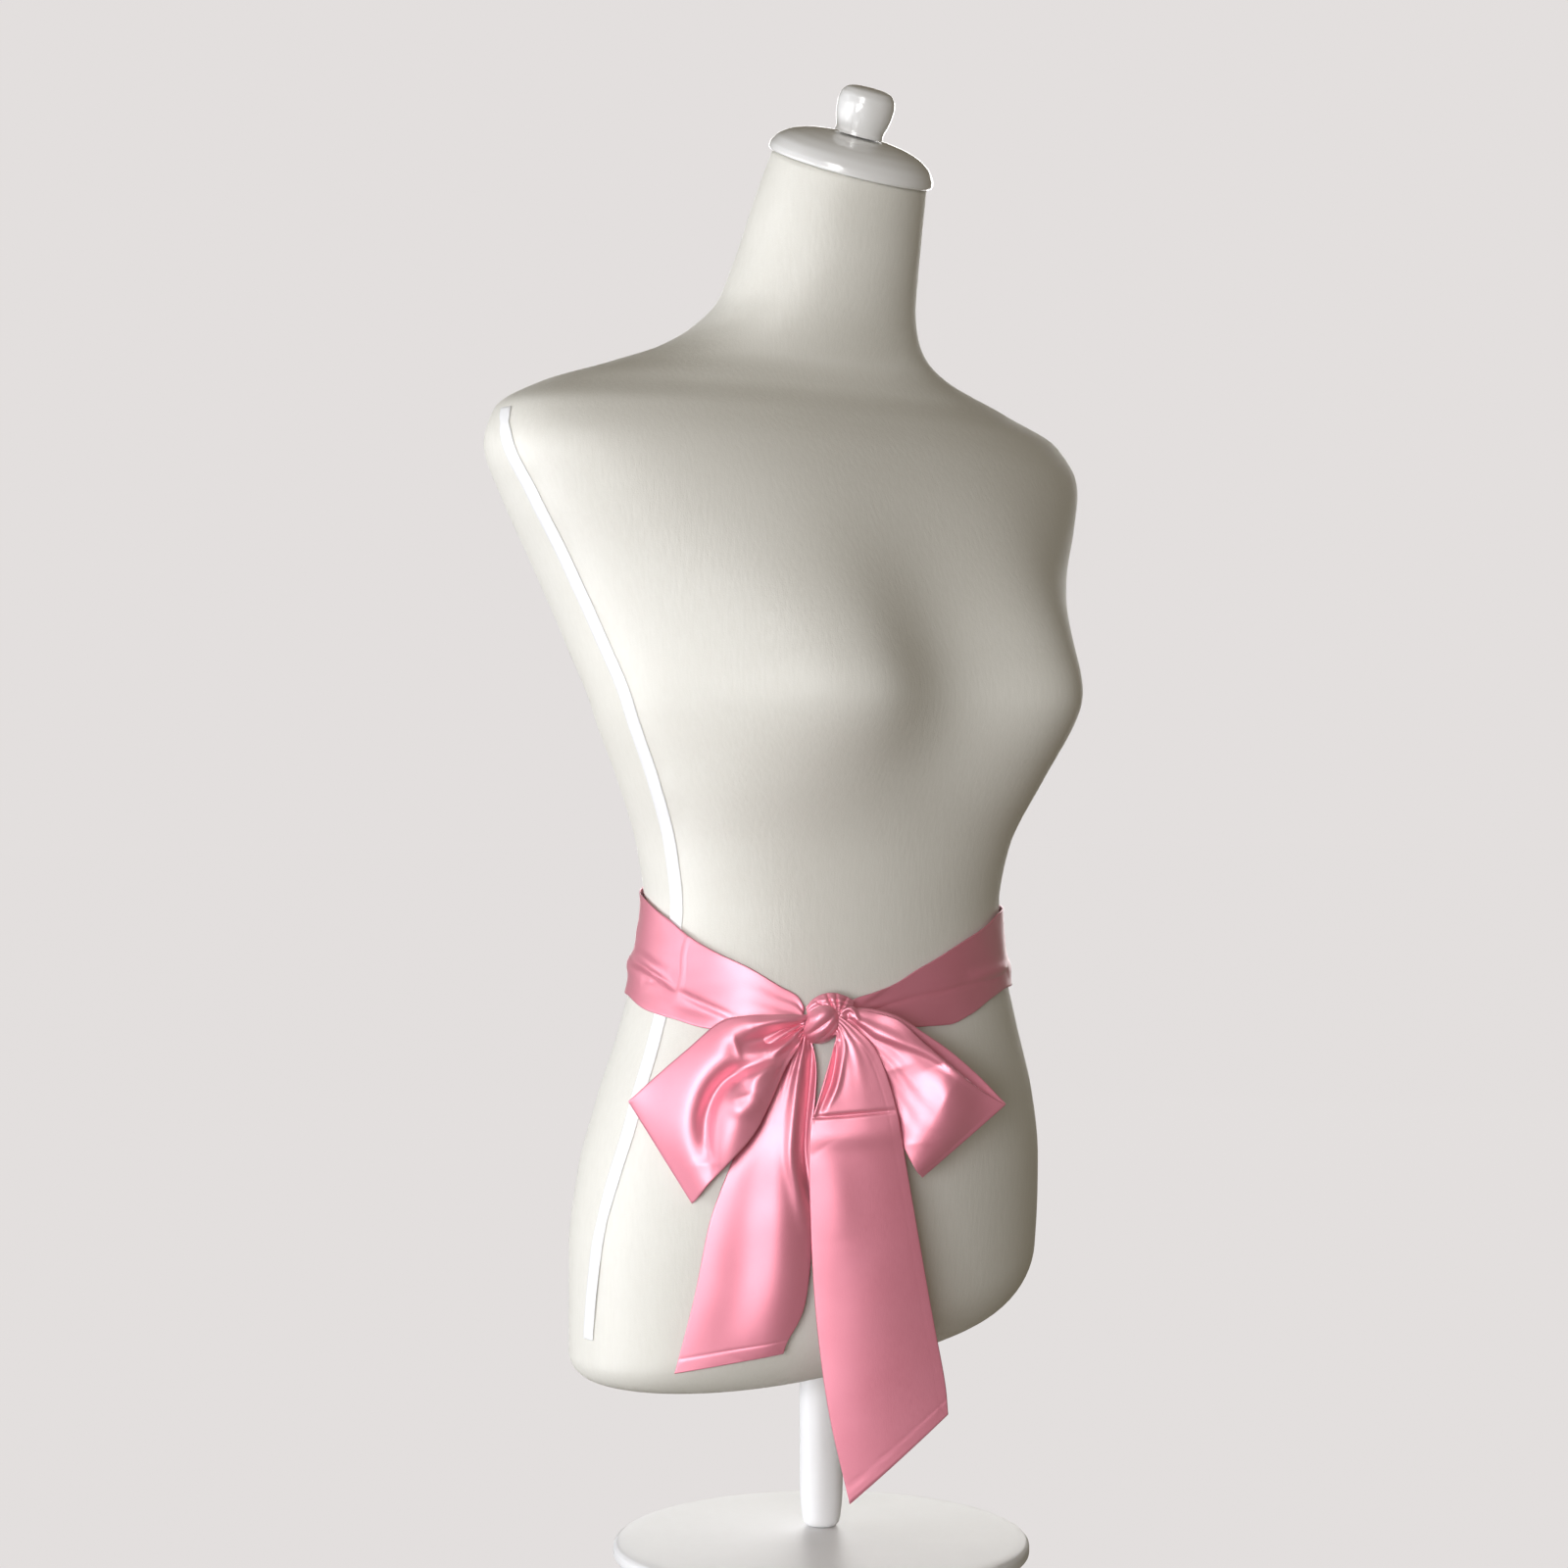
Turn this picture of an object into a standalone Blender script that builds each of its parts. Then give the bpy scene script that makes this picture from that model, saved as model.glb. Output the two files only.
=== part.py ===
"""Satin sash tied in a bow round a limbless dress form on a round stand.

Sizes in the tables are millimetres and degrees. Objects are built in metres, +Z up,
with the form facing -Y and the underside of the stand at the origin.
"""

import math
from collections import namedtuple

import bpy
import numpy as np

MM = 0.001

# Cloth and cover thicknesses, and the gap between pieces that touch.
CLOTH_WALL = 1.2
TAPE_WALL = 0.6
SEAM_GAP = 0.3

# The bow is tied on the form's front, turned to the form's right.
BOW_AZIMUTH = 40.0
BOW_RADIUS = 101.2
BOW_HEIGHT = 316.0

BODY_COLUMNS = 44
BODY_RING_GAP = 12.0
UNDERSIDE_HEIGHT = 118.0
UNDERSIDE_SLOPE = 0.07
UNDERSIDE_DISC = 30.0
HEM_RADIUS = 29.0
HEM_RADIUS_SWING = 16.0
HEM_SWING_ANGLE = 40.0
HEM_STEPS = 6

BodyRow = namedtuple("BodyRow", "height half_width half_depth centre_y squareness tilt")
BODY_ROWS = [
    BodyRow(795.0, 46.5, 43.6, -25.6, 2.00, 22.6),
    BodyRow(787.0, 48.0, 44.6, -22.4, 2.00, 21.5),
    BodyRow(770.0, 50.3, 47.2, -15.6, 2.00, 17.0),
    BodyRow(750.0, 52.3, 51.2, -8.0, 2.00, 9.0),
    BodyRow(735.0, 55.0, 54.0, -1.8, 2.00, 3.0),
    BodyRow(720.0, 59.3, 56.0, 4.7, 2.00, 0.0),
    BodyRow(705.0, 70.9, 60.0, 15.7, 2.00, 0.0),
    BodyRow(693.0, 89.6, 62.0, 25.3, 2.00, 0.0),
    BodyRow(681.0, 121.9, 65.0, 33.8, 2.10, 0.0),
    BodyRow(667.0, 164.8, 73.0, 35.3, 2.20, 0.0),
    BodyRow(650.0, 195.8, 83.0, 28.8, 2.30, 0.0),
    BodyRow(630.0, 203.2, 93.0, 24.0, 2.30, 0.0),
    BodyRow(600.0, 191.6, 100.0, 18.3, 2.30, 0.0),
    BodyRow(565.0, 174.2, 102.0, 12.7, 2.30, 0.0),
    BodyRow(525.0, 159.3, 100.0, 3.0, 2.30, 0.0),
    BodyRow(485.0, 149.1, 96.0, -8.5, 2.25, 0.0),
    BodyRow(445.0, 132.0, 90.0, -7.4, 2.20, 0.0),
    BodyRow(405.0, 115.4, 86.0, -3.3, 2.15, 0.0),
    BodyRow(375.0, 110.7, 85.0, -2.3, 2.10, 0.0),
    BodyRow(345.0, 114.5, 87.0, -0.9, 2.10, 0.0),
    BodyRow(305.0, 124.9, 93.0, 0.5, 2.10, 0.0),
    BodyRow(265.0, 137.4, 101.0, 3.0, 2.10, 0.0),
    BodyRow(225.0, 145.6, 107.0, 7.8, 2.10, 0.0),
    BodyRow(185.0, 148.6, 108.0, 12.4, 2.10, 0.0),
    BodyRow(100.0, 146.0, 103.0, 18.0, 2.10, 0.0),
]

Bust = namedtuple("Bust", "side_x height depth width reach_up reach_down")
BUST = Bust(80.3, 497.7, 35.2, 59.9, 69.6, 56.1)

TapeRow = namedtuple("TapeRow", "height angle")
TAPE_WIDTH = 10.0
TAPE_END_RIGHT = 136.0
TAPE_END_LEFT = 176.0
TAPE_ROWS = [
    TapeRow(652.0, 178.0),
    TapeRow(600.0, 181.0),
    TapeRow(540.0, 181.5),
    TapeRow(445.0, 183.5),
    TapeRow(390.0, 183.0),
    TapeRow(310.0, 184.0),
    TapeRow(255.0, 183.5),
    TapeRow(200.0, 179.5),
    TapeRow(140.0, 175.5),
]

# Neck cap: a turned dome with a small lip, then the barrel finial on top.
CAP_TILT = 22.6
CAP_CENTRE_Y = -25.6
CAP_HEIGHT = 795.0

TurnedRow = namedtuple("TurnedRow", "radius height")
CAP_PROFILE = [
    TurnedRow(0.0, 19.2),
    TurnedRow(10.0, 19.0),
    TurnedRow(20.0, 17.4),
    TurnedRow(30.0, 14.2),
    TurnedRow(38.5, 9.8),
    TurnedRow(45.0, 5.2),
    TurnedRow(47.9, 2.2),
    TurnedRow(47.6, 0.8),
    TurnedRow(46.4, 0.5),
    TurnedRow(0.0, 0.5),
]
FINIAL_PROFILE = [
    TurnedRow(0.0, 50.5),
    TurnedRow(7.0, 50.2),
    TurnedRow(12.0, 48.6),
    TurnedRow(15.2, 45.4),
    TurnedRow(16.6, 40.5),
    TurnedRow(16.4, 34.5),
    TurnedRow(15.0, 29.0),
    TurnedRow(13.0, 24.5),
    TurnedRow(12.6, 21.5),
    TurnedRow(13.4, 19.5),
    TurnedRow(0.0, 19.5),
]
POST_PROFILE = [
    TurnedRow(0.0, 117.7),
    TurnedRow(27.0, 117.7),
    TurnedRow(28.0, 116.7),
    TurnedRow(28.0, 112.5),
    TurnedRow(27.0, 111.5),
    TurnedRow(13.5, 110.5),
    TurnedRow(12.5, 109.0),
    TurnedRow(12.5, 15.3),
    TurnedRow(0.0, 15.3),
]
BASE_PROFILE = [
    TurnedRow(0.0, 15.0),
    TurnedRow(22.0, 15.0),
    TurnedRow(112.0, 9.5),
    TurnedRow(118.0, 8.2),
    TurnedRow(120.0, 6.0),
    TurnedRow(120.0, 1.2),
    TurnedRow(118.8, 0.0),
    TurnedRow(0.0, 0.0),
]

# The band: its edges round the form, from the knot by the form's right side and back.
BandRow = namedtuple("BandRow", "angle top bottom lift")
BAND_ALONG = 76
BAND_ACROSS = 6
BAND_MM_PER_DEGREE = 1.95
BAND_ROWS = [
    BandRow(233.0, 321.5, 306.5, 2.6),
    BandRow(231.0, 327.0, 307.5, 2.3),
    BandRow(226.0, 332.0, 308.5, 2.0),
    BandRow(214.5, 343.0, 309.0, 1.9),
    BandRow(204.0, 350.0, 310.0, 1.9),
    BandRow(192.0, 358.5, 314.0, 1.9),
    BandRow(179.0, 369.0, 317.5, 1.9),
    BandRow(158.0, 380.0, 324.5, 1.9),
    BandRow(125.0, 386.0, 325.0, 1.9),
    BandRow(90.0, 387.0, 324.0, 1.9),
    BandRow(50.0, 384.0, 323.5, 1.9),
    BandRow(15.0, 379.0, 324.0, 1.9),
    BandRow(-20.0, 373.0, 325.5, 1.9),
    BandRow(-48.0, 369.0, 326.0, 1.9),
    BandRow(-62.0, 362.0, 322.0, 1.9),
    BandRow(-75.5, 354.0, 313.5, 1.9),
    BandRow(-84.5, 347.0, 309.0, 1.9),
    BandRow(-92.5, 340.0, 309.0, 1.9),
    BandRow(-100.0, 332.5, 309.5, 2.0),
    BandRow(-107.0, 328.0, 309.0, 2.2),
    BandRow(-112.5, 325.0, 308.0, 2.4),
    BandRow(-115.6, 321.5, 307.0, 2.6),
]

# A fold is a soft ridge (rise above 0) or trough along a curve through three points.
# On the band the points are angle and height; on the bow they are across and up.
Fold = namedtuple("Fold", "start_a start_b middle_a middle_b end_a end_b width rise")
BAND_FOLDS = [
    Fold(176.0, 336.0, 120.0, 345.0, 60.0, 341.0, 5.0, 3.0),
    Fold(70.0, 343.0, 20.0, 338.0, -42.0, 336.0, 5.0, 3.2),
    Fold(-40.0, 330.0, -76.0, 331.0, -108.0, 319.0, 3.4, -1.1),
    Fold(-46.0, 343.0, -80.0, 338.0, -110.0, 322.0, 4.5, 2.0),
    Fold(184.0, 336.0, 196.0, 328.0, 199.0, 317.0, 3.5, 1.8),
    Fold(197.0, 350.0, 199.0, 335.0, 198.0, 316.0, 3.0, 1.5),
    Fold(199.0, 325.0, 210.0, 320.0, 226.0, 317.0, 4.0, 1.6),
]

# Bow pieces: each section runs from edge one to edge two, across and up from the
# knot, with the distance out from the form's waist at both edges and the middle.
Section = namedtuple("Section", "a_across a_up b_across b_up out_a out_mid out_b pleat steps")

LOOP_RIGHT_SECTIONS = [
    Section(-2.5, 3.4, -2.5, -9.6, 14.2, 14.4, 14.2, 0.3, 2),
    Section(-8.8, 2.2, -8.6, -8.4, 14.4, 15.6, 14.8, 0.8, 2),
    Section(-16.0, 2.5, -12.5, -15.0, 16.6, 20.2, 18.6, 1.5, 2),
    Section(-26.0, 2.5, -20.0, -27.0, 18.4, 25.0, 23.0, 1.4, 3),
    Section(-40.0, 2.0, -28.0, -45.0, 19.0, 29.5, 28.0, 0.8, 3),
    Section(-55.0, -2.0, -36.0, -60.0, 18.0, 30.5, 31.0, 0.3, 3),
    Section(-73.0, -17.0, -48.0, -74.0, 16.5, 28.0, 31.0, 0.0, 3),
    Section(-89.0, -31.0, -60.0, -87.0, 13.5, 23.0, 27.5, 0.0, 3),
    Section(-101.0, -42.0, -67.0, -96.0, 11.0, 17.5, 23.0, 0.0, 2),
    Section(-104.3, -45.0, -69.5, -98.5, 8.8, 15.0, 20.8, 0.0, 2),
    Section(-101.5, -43.0, -67.5, -96.5, 6.6, 12.6, 18.6, 0.0, 2),
    Section(-88.0, -31.0, -60.0, -86.0, 7.5, 15.0, 20.4, 0.0, 3),
    Section(-72.0, -17.0, -48.0, -73.0, 9.0, 16.8, 22.2, 0.0, 3),
    Section(-55.0, -2.0, -36.0, -59.0, 10.5, 17.4, 22.2, 0.0, 3),
    Section(-40.0, 1.6, -28.0, -44.0, 13.4, 19.0, 21.4, 0.3, 3),
    Section(-26.0, 2.0, -20.0, -26.0, 14.0, 17.8, 18.8, 0.5, 2),
    Section(-16.0, 2.0, -12.5, -14.0, 13.2, 15.0, 15.4, 0.5, 2),
    Section(-8.8, 1.8, -8.6, -8.2, 11.6, 12.4, 12.2, 0.3, 2),
    Section(-2.5, 3.8, -2.5, -10.0, 11.0, 11.2, 11.0, 0.2, 0),
]
LOOP_RIGHT_FOLDS = [
    Fold(-12.0, -5.0, -50.0, -28.5, -64.0, -65.0, 4.6, -5.5),
    Fold(-12.0, -10.0, -40.0, -34.0, -52.0, -64.0, 8.0, 2.6),
    Fold(-10.0, -1.0, -30.0, 0.0, -52.0, -9.0, 4.0, 2.0),
]

LOOP_LEFT_SECTIONS = [
    Section(2.5, 3.2, 2.5, -9.4, 10.8, 11.0, 10.8, 0.2, 2),
    Section(9.0, 3.0, 9.6, -8.6, 10.6, 11.2, 10.4, 0.5, 2),
    Section(18.0, 4.5, 17.0, -17.0, 9.8, 11.4, 9.8, 1.2, 2),
    Section(28.0, 4.0, 24.0, -30.0, 10.4, 12.0, 9.4, 1.2, 3),
    Section(42.0, -1.0, 33.0, -46.0, 12.2, 13.6, 10.4, 0.5, 3),
    Section(55.0, -10.0, 40.0, -60.0, 12.4, 15.6, 10.6, 0.2, 3),
    Section(70.0, -21.0, 46.0, -72.0, 10.0, 15.4, 10.0, 0.0, 3),
    Section(86.0, -35.0, 51.0, -81.0, 5.6, 11.4, 8.2, 0.0, 3),
    Section(97.5, -45.0, 53.8, -84.8, 2.2, 6.4, 5.6, 0.0, 2),
    Section(100.3, -47.4, 54.8, -86.2, 0.2, 4.0, 3.6, 0.0, 2),
    Section(97.5, -44.4, 53.6, -84.4, -1.8, 1.6, 1.6, 0.0, 2),
    Section(86.0, -32.5, 51.0, -80.5, -1.2, 1.6, 1.4, 0.0, 3),
    Section(70.0, -18.5, 46.0, -71.5, 0.8, 2.6, 1.8, 0.0, 3),
    Section(55.0, -8.0, 40.0, -59.5, 3.0, 3.8, 2.6, 0.0, 3),
    Section(42.0, 0.5, 33.0, -45.5, 4.4, 4.4, 3.2, 0.3, 3),
    Section(28.0, 4.6, 24.0, -29.5, 5.0, 4.8, 4.2, 0.5, 2),
    Section(18.0, 5.0, 17.0, -16.5, 6.0, 6.0, 6.0, 0.4, 2),
    Section(9.6, 2.6, 10.4, -8.4, 7.6, 7.8, 7.6, 0.2, 2),
    Section(2.5, 2.2, 2.5, -8.4, 7.9, 8.0, 7.9, 0.2, 0),
]
LOOP_LEFT_FOLDS = [
    Fold(14.0, 0.0, 48.0, -12.0, 78.0, -30.0, 3.5, 2.4),
    Fold(18.0, -6.0, 46.0, -22.0, 66.0, -36.0, 5.0, -2.6),
    Fold(30.0, -24.0, 58.0, -34.0, 62.0, -62.0, 9.0, 2.6),
]

TAIL_SHORT_SECTIONS = [
    Section(-3.0, 2.4, -3.0, -8.8, 8.0, 8.1, 8.0, 0.1, 2),
    Section(-11.0, -0.5, -10.2, -9.2, 9.4, 9.7, 9.2, 0.3, 2),
    Section(-20.0, -12.0, -10.5, -19.0, 12.4, 12.6, 11.4, 0.6, 2),
    Section(-30.0, -32.0, -5.0, -31.0, 16.0, 16.6, 12.8, 1.0, 2),
    Section(-37.0, -52.0, -4.0, -50.0, 18.4, 18.8, 14.8, 0.9, 2),
    Section(-46.0, -72.0, -5.5, -70.0, 20.2, 20.6, 15.8, 0.7, 3),
    Section(-54.0, -92.0, -7.0, -90.0, 20.4, 20.8, 16.0, 0.5, 3),
    Section(-60.5, -112.0, -6.5, -116.0, 20.0, 20.8, 15.8, 0.4, 4),
    Section(-68.0, -149.0, -10.0, -154.0, 18.4, 20.0, 15.2, 0.3, 4),
    Section(-77.0, -184.0, -18.5, -174.0, 16.4, 18.0, 14.4, 0.0, 2),
    Section(-79.0, -191.0, -20.5, -180.0, 16.0, 17.6, 14.2, 0.0, 0),
]
TAIL_SHORT_FOLDS = [
    Fold(-12.0, -22.0, -16.0, -70.0, -12.0, -118.0, 4.5, 2.2),
    Fold(-8.0, -28.0, -9.5, -66.0, -8.0, -104.0, 2.5, -1.2),
]

TAIL_LONG_SECTIONS = [
    Section(3.0, -9.8, 3.0, 3.4, 14.2, 14.4, 14.2, 0.2, 2),
    Section(10.0, -8.6, 10.5, 1.0, 14.0, 14.8, 14.0, 0.4, 2),
    Section(10.0, -16.5, 20.0, -6.5, 15.2, 15.6, 14.2, 0.8, 2),
    Section(5.5, -25.0, 27.0, -13.5, 16.6, 17.0, 14.8, 0.8, 2),
    Section(2.5, -32.0, 32.0, -22.0, 17.4, 18.0, 15.4, 0.7, 2),
    Section(-1.0, -43.0, 37.0, -36.0, 18.4, 19.2, 16.4, 0.5, 2),
    Section(-4.0, -53.0, 41.0, -51.0, 18.8, 20.0, 17.0, 0.3, 3),
    Section(-6.0, -64.0, 43.0, -63.0, 18.9, 20.6, 16.8, 0.2, 3),
    Section(-6.0, -95.0, 48.0, -92.0, 18.6, 20.4, 15.6, 0.0, 5),
    Section(-3.0, -155.0, 59.0, -155.0, 17.6, 19.4, 13.4, 0.0, 4),
    Section(4.0, -210.0, 66.5, -195.0, 17.2, 18.6, 13.0, 0.0, 3),
    Section(15.5, -261.0, 68.5, -214.0, 17.0, 17.8, 13.6, 0.0, 0),
]
TAIL_LONG_FOLDS = [
    Fold(-6.0, -52.0, 18.0, -52.5, 42.0, -51.0, 2.0, -1.8),
    Fold(-6.0, -57.5, 18.0, -58.0, 42.0, -56.5, 3.0, 1.8),
    Fold(10.5, -6.0, 13.0, -24.0, 0.0, -46.0, 3.0, 1.6),
]

KNOT_UPPER_SECTIONS = [
    Section(-6.5, 9.5, -6.5, 6.6, 8.2, 8.6, 8.6, 0.0, 2),
    Section(-3.0, 12.0, -3.5, 8.6, 9.0, 10.4, 10.2, 0.2, 2),
    Section(3.0, 14.0, 2.5, 9.0, 8.8, 11.2, 11.0, 0.4, 2),
    Section(9.0, 13.0, 8.0, 8.2, 7.6, 9.8, 9.6, 0.4, 2),
    Section(14.5, 10.4, 13.0, 6.4, 5.6, 7.2, 7.4, 0.2, 2),
    Section(19.0, 8.6, 17.5, 6.4, 3.6, 4.4, 4.8, 0.0, 0),
]

SHEET_ACROSS = 9
TAIL_ACROSS = 9
PLEAT_WAVES = 2.0

# The knot: a barrel-shaped wrap round the gathered roots of the bow.
KNOT_UP = -3.2
KNOT_OUT = 11.5
KNOT_HALF_HEIGHT = 10.3
KNOT_HALF_DEPTH = 8.3
KNOT_HALF_WIDTH = 7.6
KNOT_TAPER = 0.14
KNOT_LEAN = 0.12
KNOT_ROUND = 24
KNOT_ACROSS = 5

Finish = namedtuple("Finish", "red green blue roughness metallic")
FINISHES = {
    "satin": Finish(0.80, 0.27, 0.35, 0.30, 0.0),
    "cover": Finish(0.70, 0.68, 0.60, 0.55, 0.0),
    "gloss": Finish(0.86, 0.86, 0.85, 0.15, 0.0),
    "tape": Finish(0.90, 0.90, 0.89, 0.30, 0.0),
    "stand": Finish(0.80, 0.79, 0.76, 0.40, 0.0),
}


def clear_scene():
    """Remove every object so that the script can be run again."""
    for item in list(bpy.data.objects):
        bpy.data.objects.remove(item, do_unlink=True)


def make_material(name, finish):
    """Return a Principled material with the given finish."""
    material = bpy.data.materials.new(name)
    material.use_nodes = True
    shader = material.node_tree.nodes["Principled BSDF"]
    shader.inputs["Base Color"].default_value = (finish.red, finish.green, finish.blue, 1.0)
    shader.inputs["Roughness"].default_value = finish.roughness
    shader.inputs["Metallic"].default_value = finish.metallic
    material.diffuse_color = (finish.red, finish.green, finish.blue, 1.0)
    return material


def smooth_column(positions, values, at):
    """Interpolate a table column with a cubic that never overshoots its rows."""
    order = np.argsort(positions)
    x = np.asarray(positions, float)[order]
    y = np.asarray(values, float)[order]
    steps = np.diff(x)
    slopes = np.diff(y) / steps
    tangent = np.zeros_like(y)
    tangent[0] = slopes[0]
    tangent[-1] = slopes[-1]
    left, right = slopes[:-1], slopes[1:]
    same = left * right > 0.0
    weight_a = 2.0 * steps[1:] + steps[:-1]
    weight_b = steps[1:] + 2.0 * steps[:-1]
    safe_left = np.where(same, left, 1.0)
    safe_right = np.where(same, right, 1.0)
    mean = (weight_a + weight_b) / (weight_a / safe_left + weight_b / safe_right)
    tangent[1:-1] = np.where(same, mean, 0.0)
    at = np.clip(np.asarray(at, float), x[0], x[-1])
    index = np.clip(np.searchsorted(x, at, side="right") - 1, 0, len(steps) - 1)
    width = steps[index]
    t = (at - x[index]) / width
    low = (1.0 + 2.0 * t) * (1.0 - t) ** 2 * y[index] + t * t * (3.0 - 2.0 * t) * y[index + 1]
    turn = t * (1.0 - t) ** 2 * tangent[index] - t * t * (1.0 - t) * tangent[index + 1]
    return low + width * turn


def body_column(name, height):
    """Interpolate one named column of the body table at the given heights."""
    heights = [row.height for row in BODY_ROWS]
    values = [getattr(row, name) for row in BODY_ROWS]
    return smooth_column(heights, values, height)


def body_point(angle, height):
    """Return x, y, z of the form's surface at an angle (radians) and row height."""
    angle = np.asarray(angle, float)
    height = np.asarray(height, float)
    half_width = body_column("half_width", height)
    half_depth = body_column("half_depth", height)
    power = 2.0 / body_column("squareness", height)
    tilt = np.radians(body_column("tilt", height))
    side = np.sign(np.cos(angle)) * np.abs(np.cos(angle)) ** power
    depth = np.sign(np.sin(angle)) * np.abs(np.sin(angle)) ** power
    x = half_width * side
    y = body_column("centre_y", height) + half_depth * np.cos(tilt) * depth
    z = height + half_depth * np.sin(tilt) * depth
    facing = np.clip(-np.sin(angle), 0.0, 1.0)
    front = facing * facing * (3.0 - 2.0 * facing)
    rise = height - BUST.height
    reach = np.where(rise > 0.0, BUST.reach_up, BUST.reach_down)
    for side_x in (-BUST.side_x, BUST.side_x):
        mound = np.exp(-((x - side_x) / BUST.width) ** 2 - (rise / reach) ** 2)
        y = y - BUST.depth * front * mound
    return np.stack(np.broadcast_arrays(x, y, z), axis=-1)


def body_skin(angle, height, lift):
    """Return points on the form's surface moved out along its normal by lift."""
    step_angle = 0.004
    step_height = 0.4
    point = body_point(angle, height)
    around = body_point(angle + step_angle, height) - body_point(angle - step_angle, height)
    upward = body_point(angle, height + step_height) - body_point(angle, height - step_height)
    normal = np.cross(around, upward)
    normal /= np.linalg.norm(normal, axis=-1, keepdims=True)
    return point + normal * np.asarray(lift, float)[..., None]


def spline_rows(rows, steps):
    """Run a smooth curve through table rows, with the given steps in each interval."""
    table = np.asarray(rows, float)
    padded = np.vstack([2 * table[0] - table[1], table, 2 * table[-1] - table[-2]])
    out = []
    for index, count in enumerate(steps[: len(table) - 1]):
        p0, p1, p2, p3 = padded[index: index + 4]
        for step in range(count):
            t = step / count
            out.append(
                0.5 * (
                    2 * p1
                    + (p2 - p0) * t
                    + (2 * p0 - 5 * p1 + 4 * p2 - p3) * t * t
                    + (3 * p1 - p0 - 3 * p2 + p3) * t ** 3
                )
            )
    out.append(table[-1])
    return np.array(out)


def fold_height(folds, a, b, a_scale=1.0):
    """Add up the folds' ridges and troughs at points a, b."""
    total = np.zeros(np.broadcast(a, b).shape)
    along = np.linspace(0.0, 1.0, 25)
    for fold in folds:
        curve_a = bezier(fold.start_a, fold.middle_a, fold.end_a, along) * a_scale
        curve_b = bezier(fold.start_b, fold.middle_b, fold.end_b, along)
        gap_a = a[..., None] * a_scale - curve_a
        gap_b = b[..., None] - curve_b
        distance = np.sqrt(gap_a ** 2 + gap_b ** 2)
        nearest = np.argmin(distance, axis=-1)
        shortest = np.take_along_axis(distance, nearest[..., None], axis=-1)[..., 0]
        fade = np.sin(np.pi * np.clip(along[nearest], 0.06, 0.94)) ** 0.5
        total += fold.rise * fade * np.exp(-(shortest / fold.width) ** 2)
    return total


def bezier(start, middle, end, t):
    """Return a quadratic curve that passes through its middle value at t = 0.5."""
    control = 2.0 * middle - 0.5 * (start + end)
    return (1 - t) ** 2 * start + 2 * t * (1 - t) * control + t * t * end


def add_mesh(name, points, faces, material, collection):
    """Make a mesh object from points in millimetres, with its faces turned outward."""
    mesh = bpy.data.meshes.new(name)
    mesh.from_pydata((np.asarray(points) * MM).tolist(), [], faces)
    mesh.update()
    if signed_volume(points, faces) < 0.0:
        mesh.flip_normals()
    mesh.polygons.foreach_set("use_smooth", [True] * len(mesh.polygons))
    mesh.set_sharp_from_angle(angle=math.radians(50.0))
    mesh.materials.append(material)
    item = bpy.data.objects.new(name, mesh)
    collection.objects.link(item)
    return item


def signed_volume(points, faces):
    """Return six times the volume inside a closed mesh, below 0 when inside out."""
    points = np.asarray(points)
    total = 0.0
    for face in faces:
        first = points[face[0]]
        for index in range(1, len(face) - 1):
            total += np.dot(first, np.cross(points[face[index]], points[face[index + 1]]))
    return total


def grid_faces(rows, columns, offset, around_rows, around_columns):
    """List the quads of a grid of points, with either direction closed on itself."""
    faces = []
    last_row = rows if around_rows else rows - 1
    last_column = columns if around_columns else columns - 1
    for i in range(last_row):
        for j in range(last_column):
            a = offset + i * columns + j
            b = offset + i * columns + (j + 1) % columns
            c = offset + ((i + 1) % rows) * columns + (j + 1) % columns
            d = offset + ((i + 1) % rows) * columns + j
            faces.append((a, b, c, d))
    return faces


def cloth_solid(name, middle, wall, material, collection, around=False):
    """Thicken a grid of cloth points into a closed wall; around closes its rows."""
    rows, columns = middle.shape[:2]
    if around:
        along = np.roll(middle, -1, axis=0) - np.roll(middle, 1, axis=0)
    else:
        along = np.gradient(middle, axis=0)
    across = np.gradient(middle, axis=1)
    normal = np.cross(along, across)
    normal /= np.linalg.norm(normal, axis=-1, keepdims=True)
    upper = (middle + normal * wall / 2).reshape(-1, 3)
    lower = (middle - normal * wall / 2).reshape(-1, 3)
    count = rows * columns
    faces = grid_faces(rows, columns, 0, around, False)
    faces += [face[::-1] for face in grid_faces(rows, columns, count, around, False)]
    last_row = rows if around else rows - 1
    for i in range(last_row):
        here = i * columns
        there = ((i + 1) % rows) * columns
        faces.append((here, there, count + there, count + here))
        end = columns - 1
        faces.append((there + end, here + end, count + here + end, count + there + end))
    if not around:
        for j in range(columns - 1):
            faces.append((j + 1, j, count + j, count + j + 1))
            k = (rows - 1) * columns + j
            faces.append((k, k + 1, count + k + 1, count + k))
    return add_mesh(name, np.vstack([upper, lower]), faces, material, collection)


def bow_point(across, up, out):
    """Turn bow sizes (across, up, out from the waist) into x, y, z."""
    turn = math.radians(BOW_AZIMUTH)
    reach = BOW_RADIUS + out
    x = across * math.cos(turn) - reach * math.sin(turn)
    y = -across * math.sin(turn) - reach * math.cos(turn)
    z = BOW_HEIGHT + up
    return np.stack(np.broadcast_arrays(x, y, z), axis=-1)


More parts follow.
